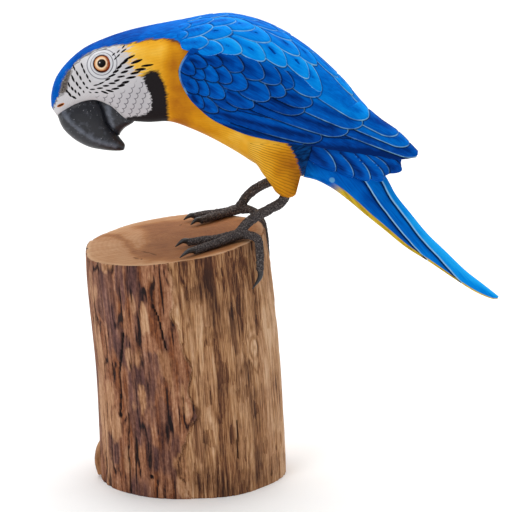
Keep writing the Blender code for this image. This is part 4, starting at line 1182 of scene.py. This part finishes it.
def tail(finish):
    """Long tail feathers: roof-shaped sections with stepped, grooved sides."""
    places = np.linspace(0.0, len(TAIL) - 1, 330)
    section = trace(TAIL_SECTION, 90)
    section = np.concatenate([section, (section * (1, -1))[-2:0:-1]])
    rows = read_rows(TAIL, places)
    high, low = rows[:, None, 0:2], rows[:, None, 2:4]
    height, out = section[None, :, 0], section[None, :, 1]
    flat = low + (high - low) * height[..., None]
    points = np.stack([flat[..., 0], BIRD_Y + rows[:, 4:5] * out, flat[..., 1]], axis=-1)
    tall = np.linalg.norm(high - low, axis=-1)
    shape = points.shape[:2]
    rise = np.broadcast_to(height, shape)
    place_grid = np.broadcast_to(places[:, None], shape)
    relief = np.zeros(shape)
    gaps, shade_below_line = [], np.zeros(shape)
    for route in TAIL_LINES:
        row, share = np.array(route).T
        above = (rise - np.interp(places, row, share)[:, None]) * tall
        relief -= 0.55 * (1.0 - ease(-0.3, 0.3, above)) + 0.45 * np.exp(-((above + 0.7) / 0.6) ** 2)
        shade_below_line = np.maximum(shade_below_line, np.exp(np.minimum(above, 0.0) / 3.2) * (above < 0))
        gaps.append(above)
    relief = relief * (1.0 - ease(10.2, 11.0, place_grid)) * (rise > 0.08)
    side = np.abs(np.broadcast_to(out, shape)) > 0.8
    strip = (1.0 - ease(0.1, 0.8, (rise - 0.14) * tall)) * ease(1.5, 2.4, place_grid)
    under = np.where(side, strip, 1.0 - ease(0.05, 0.1, rise))
    # lighter towards the ridge, a painted highlight along the top, lighter towards the tip, and darker below
    # each line, a painted shade under the overlap
    tone = 0.47 + 0.36 * ease(0.5, 0.95, rise) + 0.3 * ease(4.0, 8.0, place_grid) - 0.4 * shade_below_line
    tone = tone + 0.1 * ripple(points, 9.0, 51)
    dot = np.linalg.norm(points[..., [0, 2]] - np.array(TAIL_SPOT), axis=-1)
    points = carve(points, relief)
    marks = {"upper_gap": gaps[0], "lower_gap": gaps[1], "tone": tone, "under": under, "dot": dot}
    grid_mesh("tail_feathers", points, finish, marks, ("tail",))


def beak_half(half, table, finish, raised):
    """One half of the bill: boxy ovals on its rows, rubbed grey with a painted highlight
    along the path where the side meets the ridge, which is raised as a soft crease."""
    _, points = table_ovals(table, BEAK_SQUARE, 150, 120)
    ridge = np.exp(-(path_distance(points[..., [0, 2]], BILL_CREASES[half]) / 1.8) ** 2)
    points = carve(points, raised * ridge)
    grid_mesh(f"bill_{half}", points, finish, {"ridge": ridge}, (f"beak_{half}",))


def eye(which, side, finish):
    """A shallow enamelled dome turned about the direction that it faces."""
    rows = trace(EYE_DOME, 40)
    centre = np.array([EYE_AT[0], BIRD_Y + side * EYE_AT[1], EYE_AT[2]])
    ahead = np.array([EYE_FACES[0], side * EYE_FACES[1], EYE_FACES[2]])
    ahead /= np.linalg.norm(ahead)
    right = np.cross(ahead, (0.0, 0.0, 1.0))
    right /= np.linalg.norm(right)
    over = np.cross(right, ahead)
    turn = round_turns(72)[:, None]
    circle = right * np.cos(turn) + over * np.sin(turn)
    points = centre + ahead * rows[:, None, 1:2] + circle * rows[:, None, 0:1]
    # the glint is measured across the way that the eye faces
    flat = points - (centre + right * (-1.3 * side) + over * 0.4)
    flat = flat - (flat @ ahead)[..., None] * ahead
    marks = {"away": np.broadcast_to(rows[:, 0:1] / EYE_RADIUS, points.shape[:2]),
             "glint": np.linalg.norm(flat, axis=-1), "amber": ease(0.5, 4.0, points[..., 0] - centre[0])}
    grid_mesh(f"eye_dome_{which}", points, finish, marks, (f"eye_{which}",))


def leg_and_foot(which, finish):
    """Leg, ankle and toes under one coat of paste: overlapping bars on smooth routes,
    fused on a fine lattice and roughened with random grains."""
    ankle = np.array(ANKLES[which])
    rise = (np.array(LEGS[which][-1]) - ankle) * 0.6
    hub = [ankle + rise * share for share in (-0.3, 0.4, 1.0, 1.5)]
    bars = [tube_points(LEGS[which], [LEG_RADIUS - 0.2] * 6, 24, 6), tube_points(hub, ANKLE_RADII, 24, 4)]
    for toe in TOES[which]:
        radii = [ANKLE_RADII[-1]] + [TOE_RADIUS - 0.1] * (len(toe) - 1) + [TOE_RADIUS - 0.4]
        bars.append(tube_points([ankle] + toe, radii, 24, 6))
    spots, faces, start = [], [], 0
    for rings in bars:
        rows, columns = rings.shape[:2]
        index = start + np.arange(rows * columns).reshape(rows, columns)
        after = np.roll(index, -1, axis=1)
        quads = np.stack([index[:-1], index[1:], after[1:], after[:-1]], axis=-1).reshape(-1, 4)
        spots.append(rings.reshape(-1, 3))
        faces += quads.tolist() + [index[0].tolist(), index[-1][::-1].tolist()]
        start += rows * columns
    rough = bpy.data.meshes.new("bars")
    rough.from_pydata((np.concatenate(spots) * MM).tolist(), [], faces)
    helper = bpy.data.objects.new("bars", rough)
    bpy.context.scene.collection.objects.link(helper)
    fused = helper.modifiers.new("fuse", "REMESH")
    fused.mode, fused.voxel_size = "VOXEL", PASTE_STEP * MM
    softened = helper.modifiers.new("soften", "SMOOTH")
    softened.factor, softened.iterations = 0.5, 3
    bpy.context.view_layer.update()
    mesh = bpy.data.meshes.new_from_object(helper.evaluated_get(bpy.context.evaluated_depsgraph_get()))
    mesh.name = f"foot_{which}_paste"
    bpy.data.objects.remove(helper)
    co = np.empty(len(mesh.vertices) * 3, np.float32)
    normal = np.empty(len(mesh.vertices) * 3, np.float32)
    mesh.vertices.foreach_get("co", co)
    mesh.vertices.foreach_get("normal", normal)
    co, normal = co.reshape(-1, 3) / MM, normal.reshape(-1, 3)
    grain = 0.22 * ripple(co, 1.3, 3) + 0.16 * ripple(co, 0.7, 4) + 0.2 * ripple(co, 4.0, 5)
    mesh.vertices.foreach_set("co", ((co + normal * grain[:, None]) * MM).astype(np.float32).ravel())
    mesh.shade_smooth()
    mesh.update()
    place(f"foot_{which}_paste", mesh, finish, (f"leg_{which}", f"foot_{which}"))


def claw(which, number, route, finish):
    """A whittled point on a curved route, thick at the toe."""
    points = tube_points(route, [CLAW_RADIUS + 0.1, 1.6, 0.35], 32, 12)
    grid_mesh(f"claw_{which}_{number}_point", points, finish, {}, (f"claw_{which}_{number}",))


# ---------------------------------------------------------------- the log

def log(finish):
    """The log as one closed skin: base, split sides and slanting sawn top.

    The radius is each section's oval plus a few waves round the turn, less the depth of
    the split fibres, which are random values stretched upright. A torn layer stands
    1 mm proud on the left as far as TORN_EDGE; cracks and beetle holes are cut in.
    """
    turn = round_turns(480)
    wave = sum(depth * np.sin(count * turn + phase) for count, phase, depth in LOG_WAVES)
    base, side, lid = 7, 148, 50
    rise = np.concatenate([np.zeros(base), np.linspace(0.0, 1.0, side), np.ones(lid)])[:, None]
    inward = np.concatenate([np.linspace(0.02, 0.96, base), np.ones(side),
                             np.linspace(1.0, 0.01, lid + 1)[1:]])[:, None]
    heights = [row[1] for row in LOG]
    rows = read_rows(LOG, np.interp(rise[:, 0] * heights[-1], heights, range(len(LOG))))
    middle_x, half_x, half_y = rows[:, 0:1], rows[:, 2:3] + wave, rows[:, 3:4] + wave
    cos, sin = np.cos(turn), np.sin(turn)
    z = rise * (TOP_MIDDLE[1] + TOP_RISE * (middle_x + half_x * cos - TOP_MIDDLE[0]))
    upright = np.stack([half_x * cos, half_y * sin, z], axis=-1)
    split = np.broadcast_to(inward == 1.0, z.shape)
    # arc from the front, positive to the right, and height, as a flat chart of the side
    arc = LOG_RADIUS * ((turn - 1.5 * np.pi + np.pi) % (2 * np.pi) - np.pi)
    chart = np.stack(np.broadcast_arrays(arc, z), axis=-1)
    torn_z, torn_arc = [p[1] for p in TORN_EDGE], [p[0] for p in TORN_EDGE]
    ragged = 1.8 * ripple(upright, (6.0, 6.0, 9.0), 41) + 0.8 * ripple(upright, 2.5, 42)
    inside = np.minimum(np.interp(z, torn_z, torn_arc) + ragged - arc, arc - TORN_END + 2.0 * ragged)
    outer = ease(-0.5, 0.5, inside)
    fine = ripple(upright, (1.7, 1.7, 24.0), 11)
    broad = ripple(upright, (8.0, 8.0, 60.0), 13)
    rough = ripple(upright, (3.2, 3.2, 14.0), 12)
    crumb = ripple(upright, (1.5, 1.5, 3.0), 14)
    flakes = ripple(upright, (7.0, 7.0, 19.0), 15) + 0.35 * rough
    flake = 0.6 * ease(0.36, 0.56, flakes + 0.15 * fine) * outer
    stain = ease(0.0, 0.4, ripple(upright, (9.0, 9.0, 26.0), 16) + 0.4 * rough) * outer * (1 - flake)
    crevice = 1.0 - ease(0.0, 0.16, np.abs(ripple(upright, (3.4, 3.4, 34.0), 17) + 0.12 * rough))
    crevice = crevice * (0.3 + 0.7 * outer) * ease(-0.5, 0.3, ripple(upright, (6.0, 6.0, 30.0), 18))
    for spot, tall, wide, amount in LOG_PATCHES:
        depth = oval_depth(chart, spot, 93, tall, wide) + 2.6 * rough + ragged + 1.8 * fine + crumb
        patch = ease(-1.4, 1.4, depth)
        stain = np.maximum(stain, patch * max(amount, 0.0)) * (1.0 - patch * max(-amount, 0.0))
        flake = np.maximum(flake, patch * max(-amount, 0.0)) * (1.0 - patch * max(amount, 0.0))
    stain = stain * (0.6 + 0.4 * ease(-0.4, 0.4, fine)) * (1.0 - 0.5 * ease(52.0, 66.0, -arc))
    knot = np.linalg.norm((chart - np.array(KNOT)) / (1.0, 1.7), axis=-1) + 0.8 * rough
    ring = np.exp(-(knot / 7.0) ** 2) * np.cos(knot * 1.5)
    crack = np.zeros(z.shape)
    for path, width in LOG_CRACKS:
        away = path_distance(chart + 0.7 * rough[..., None] * (1, 0), path)
        crack = np.maximum(crack, 1.0 - ease(0.35 * width, 0.75 * width, away))
    for spot, size in LOG_HOLES:
        away = np.linalg.norm(chart - np.array(spot), axis=-1)
        crack = np.maximum(crack, 1.0 - ease(0.8 * size, 1.25 * size, away))
    depth = 1.1 + 0.35 * fine + 0.4 * broad + 0.25 * ring
    depth = (depth + outer * (0.55 * rough + 0.3 * crumb - 1.0 - 0.5 * flake)
             + 0.3 * (1 - outer) * (rough > 0.35))
    depth = depth + 0.6 * np.exp(-((inside + 0.8) / 0.7) ** 2) + 2.4 * crack + 0.8 * crevice
    depth = np.clip(depth, 0.3, 4.5) * split
    top = np.broadcast_to((rise == 1.0) & (inward < 1.0), z.shape)
    depth = np.where(top, depth[base + side - 1], depth)
    edge = (0.6 * (1.0 - ease(0.0, 1.5, (1.0 - inward) * 60.0)) * top
            + 0.5 * ease(0.993, 1.0, rise) * split)
    x = middle_x + (half_x - depth - 0.4 * edge) * cos * inward
    y = (half_y - depth - 0.4 * edge) * sin * inward
    z = rise * (TOP_MIDDLE[1] + TOP_RISE * (x - TOP_MIDDLE[0]))
    flat = np.stack([x, y, z], axis=-1)
    saw = 0.1 * ripple(flat, (26.0, 2.0, 26.0), 21) + 0.15 * ripple(flat, 12.0, 22) - 0.3
    plane = flat[..., :2]
    crack_top = np.zeros(z.shape)
    for path, width in TOP_CRACKS:
        away = path_distance(plane + 0.8 * ripple(flat, 2.5, 23)[..., None], path)
        crack_top = np.maximum(crack_top, 1.0 - ease(0.3 * width, 0.8 * width, away))
    z = np.where(top, z + saw - 0.5 * crack_top, z) - edge
    points = np.stack([x, y, np.maximum(z, 0.0)], axis=-1)
    inner = field_depth(plane + 2.0 * ripple(flat, 9.0, 24)[..., None], HEARTWOOD)
    streak = path_distance(plane + 1.5 * ripple(flat, 6.0, 25)[..., None], TOP_STREAK)
    heart = (0.2 + 0.24 * ease(-6.0, 5.0, inner) + 0.19 * np.exp(-(streak / 2.6) ** 2)
             + 0.025 * np.cos(np.hypot(x + 6.0, y - 4.0) * 1.9) - 0.14 * ease(0.93, 0.99, inward)
             - 0.12 * ease(12.0, 44.0, x))
    # darker where the side lies deeper and in the crevices, a painted shade in the hollows; on the right also
    # knot rings and random grain, darker towards the top and lighter towards the far right
    hollow = 0.22 * (depth - 1.0) * split + 0.2 * (1 - outer) * (0.35 * broad + 0.3 * ring)
    hollow = (hollow + 0.3 * crevice + 0.04 * outer + 0.12 * (1 - outer) * ease(110, 165, z)
              - 0.1 * (1 - outer) * ease(40, 90, arc))
    marks = {"sawn": top * 1.0, "outer": outer * split, "hollow": hollow, "stain": stain * split,
             "flake": flake * split, "crack": np.where(top, 0.8 * crack_top, crack * split), "heart": heart}
    grid_mesh("log_wood", points, finish, marks, ("log",))


def splinter(finish):
    """A pale splinter that stands off the foot of the log: ovals along a bent route."""
    points = tube_points([row[:3] for row in SPLINTER], [row[3] for row in SPLINTER], 40, 16)
    points = carve(points, 0.35 * ripple(points, (1.5, 1.5, 9.0), 31))
    points[..., 2] = np.maximum(points[..., 2], 0.0)
    grid_mesh("log_splinter", points, finish, {"flake": np.full(points.shape[:2], 0.7)}, ())


# ---------------------------------------------------------------- floor, light and camera

def turn_to(item, spot, aim):
    """Stands a lamp or camera in the scene at a spot and points it at the aim."""
    item.location = spot.tolist()
    item.rotation_euler = Vector((aim - spot).tolist()).to_track_quat("-Z", "Y").to_euler()
    bpy.context.scene.collection.objects.link(item)


def studio():
    """A plain pale floor, broad soft lamps and a long lens that looks down a little."""
    scene = bpy.context.scene
    scene.view_settings.view_transform = "Standard"
    scene.world = bpy.data.worlds.new("pale_room")
    scene.world.use_nodes = True
    room = scene.world.node_tree.nodes["Background"].inputs
    room["Color"].default_value, room["Strength"].default_value = colour("#FFFFFF"), 0.34
    paper, spot = new_coat("pale_paper_floor")
    # the paper's tone drifts over 25 mm
    tooth = add(paper, "TexNoise", spot, Scale=40.0)
    pale = add(paper, "ValToRGB", tooth, ramp=[(0.0, "#FCFCFC"), (1.0, "#FFFFFF")])
    mesh = bpy.data.meshes.new("floor")
    reach = 6.0
    mesh.from_pydata([(-reach, -reach, 0), (reach, -reach, 0), (reach, reach, 0), (-reach, reach, 0)],
                     [], [(0, 1, 2, 3)])
    mesh.materials.append(seal(paper, pale, Roughness=0.9))
    floor = bpy.data.objects.new("floor", mesh)
    scene.collection.objects.link(floor)
    aim = np.array(LOOK_AT) * MM
    for name, spot, size, power in LAMPS:
        lamp = bpy.data.lights.new(name, "AREA")
        lamp.shape, lamp.size, lamp.energy = "DISK", size, power
        turn_to(bpy.data.objects.new(name, lamp), np.array(spot), aim)
    lens = bpy.data.cameras.new("camera")
    lens.lens, lens.sensor_width, lens.clip_end = LENS_LENGTH, SENSOR_WIDTH, 20.0
    tilt = np.radians(LENS_TILT)
    scene.camera = bpy.data.objects.new("camera", lens)
    turn_to(scene.camera, aim + LENS_DISTANCE * MM * np.array([0.0, -np.cos(tilt), np.sin(tilt)]), aim)


studio()
blue = feather_paint()
body_skin(body_paint())
cape(blue)
rump(blue)
tail(tail_paint())
black, enamel, paste, lacquer, teak = beak_paint(), eye_paint(), paste_coat(), claw_paint(), log_wood()
beak_half("upper", BEAK_UPPER, black, 0.4)
beak_half("lower", BEAK_LOWER, black, 0.0)
for which, side in (("left", -1), ("right", 1)):
    wing(which, side, blue)
    eye(which, side, enamel)
    leg_and_foot(which, paste)
    for number, route in enumerate(CLAWS[which], 1):
        claw(which, number, route, lacquer)
log(teak)
splinter(teak)
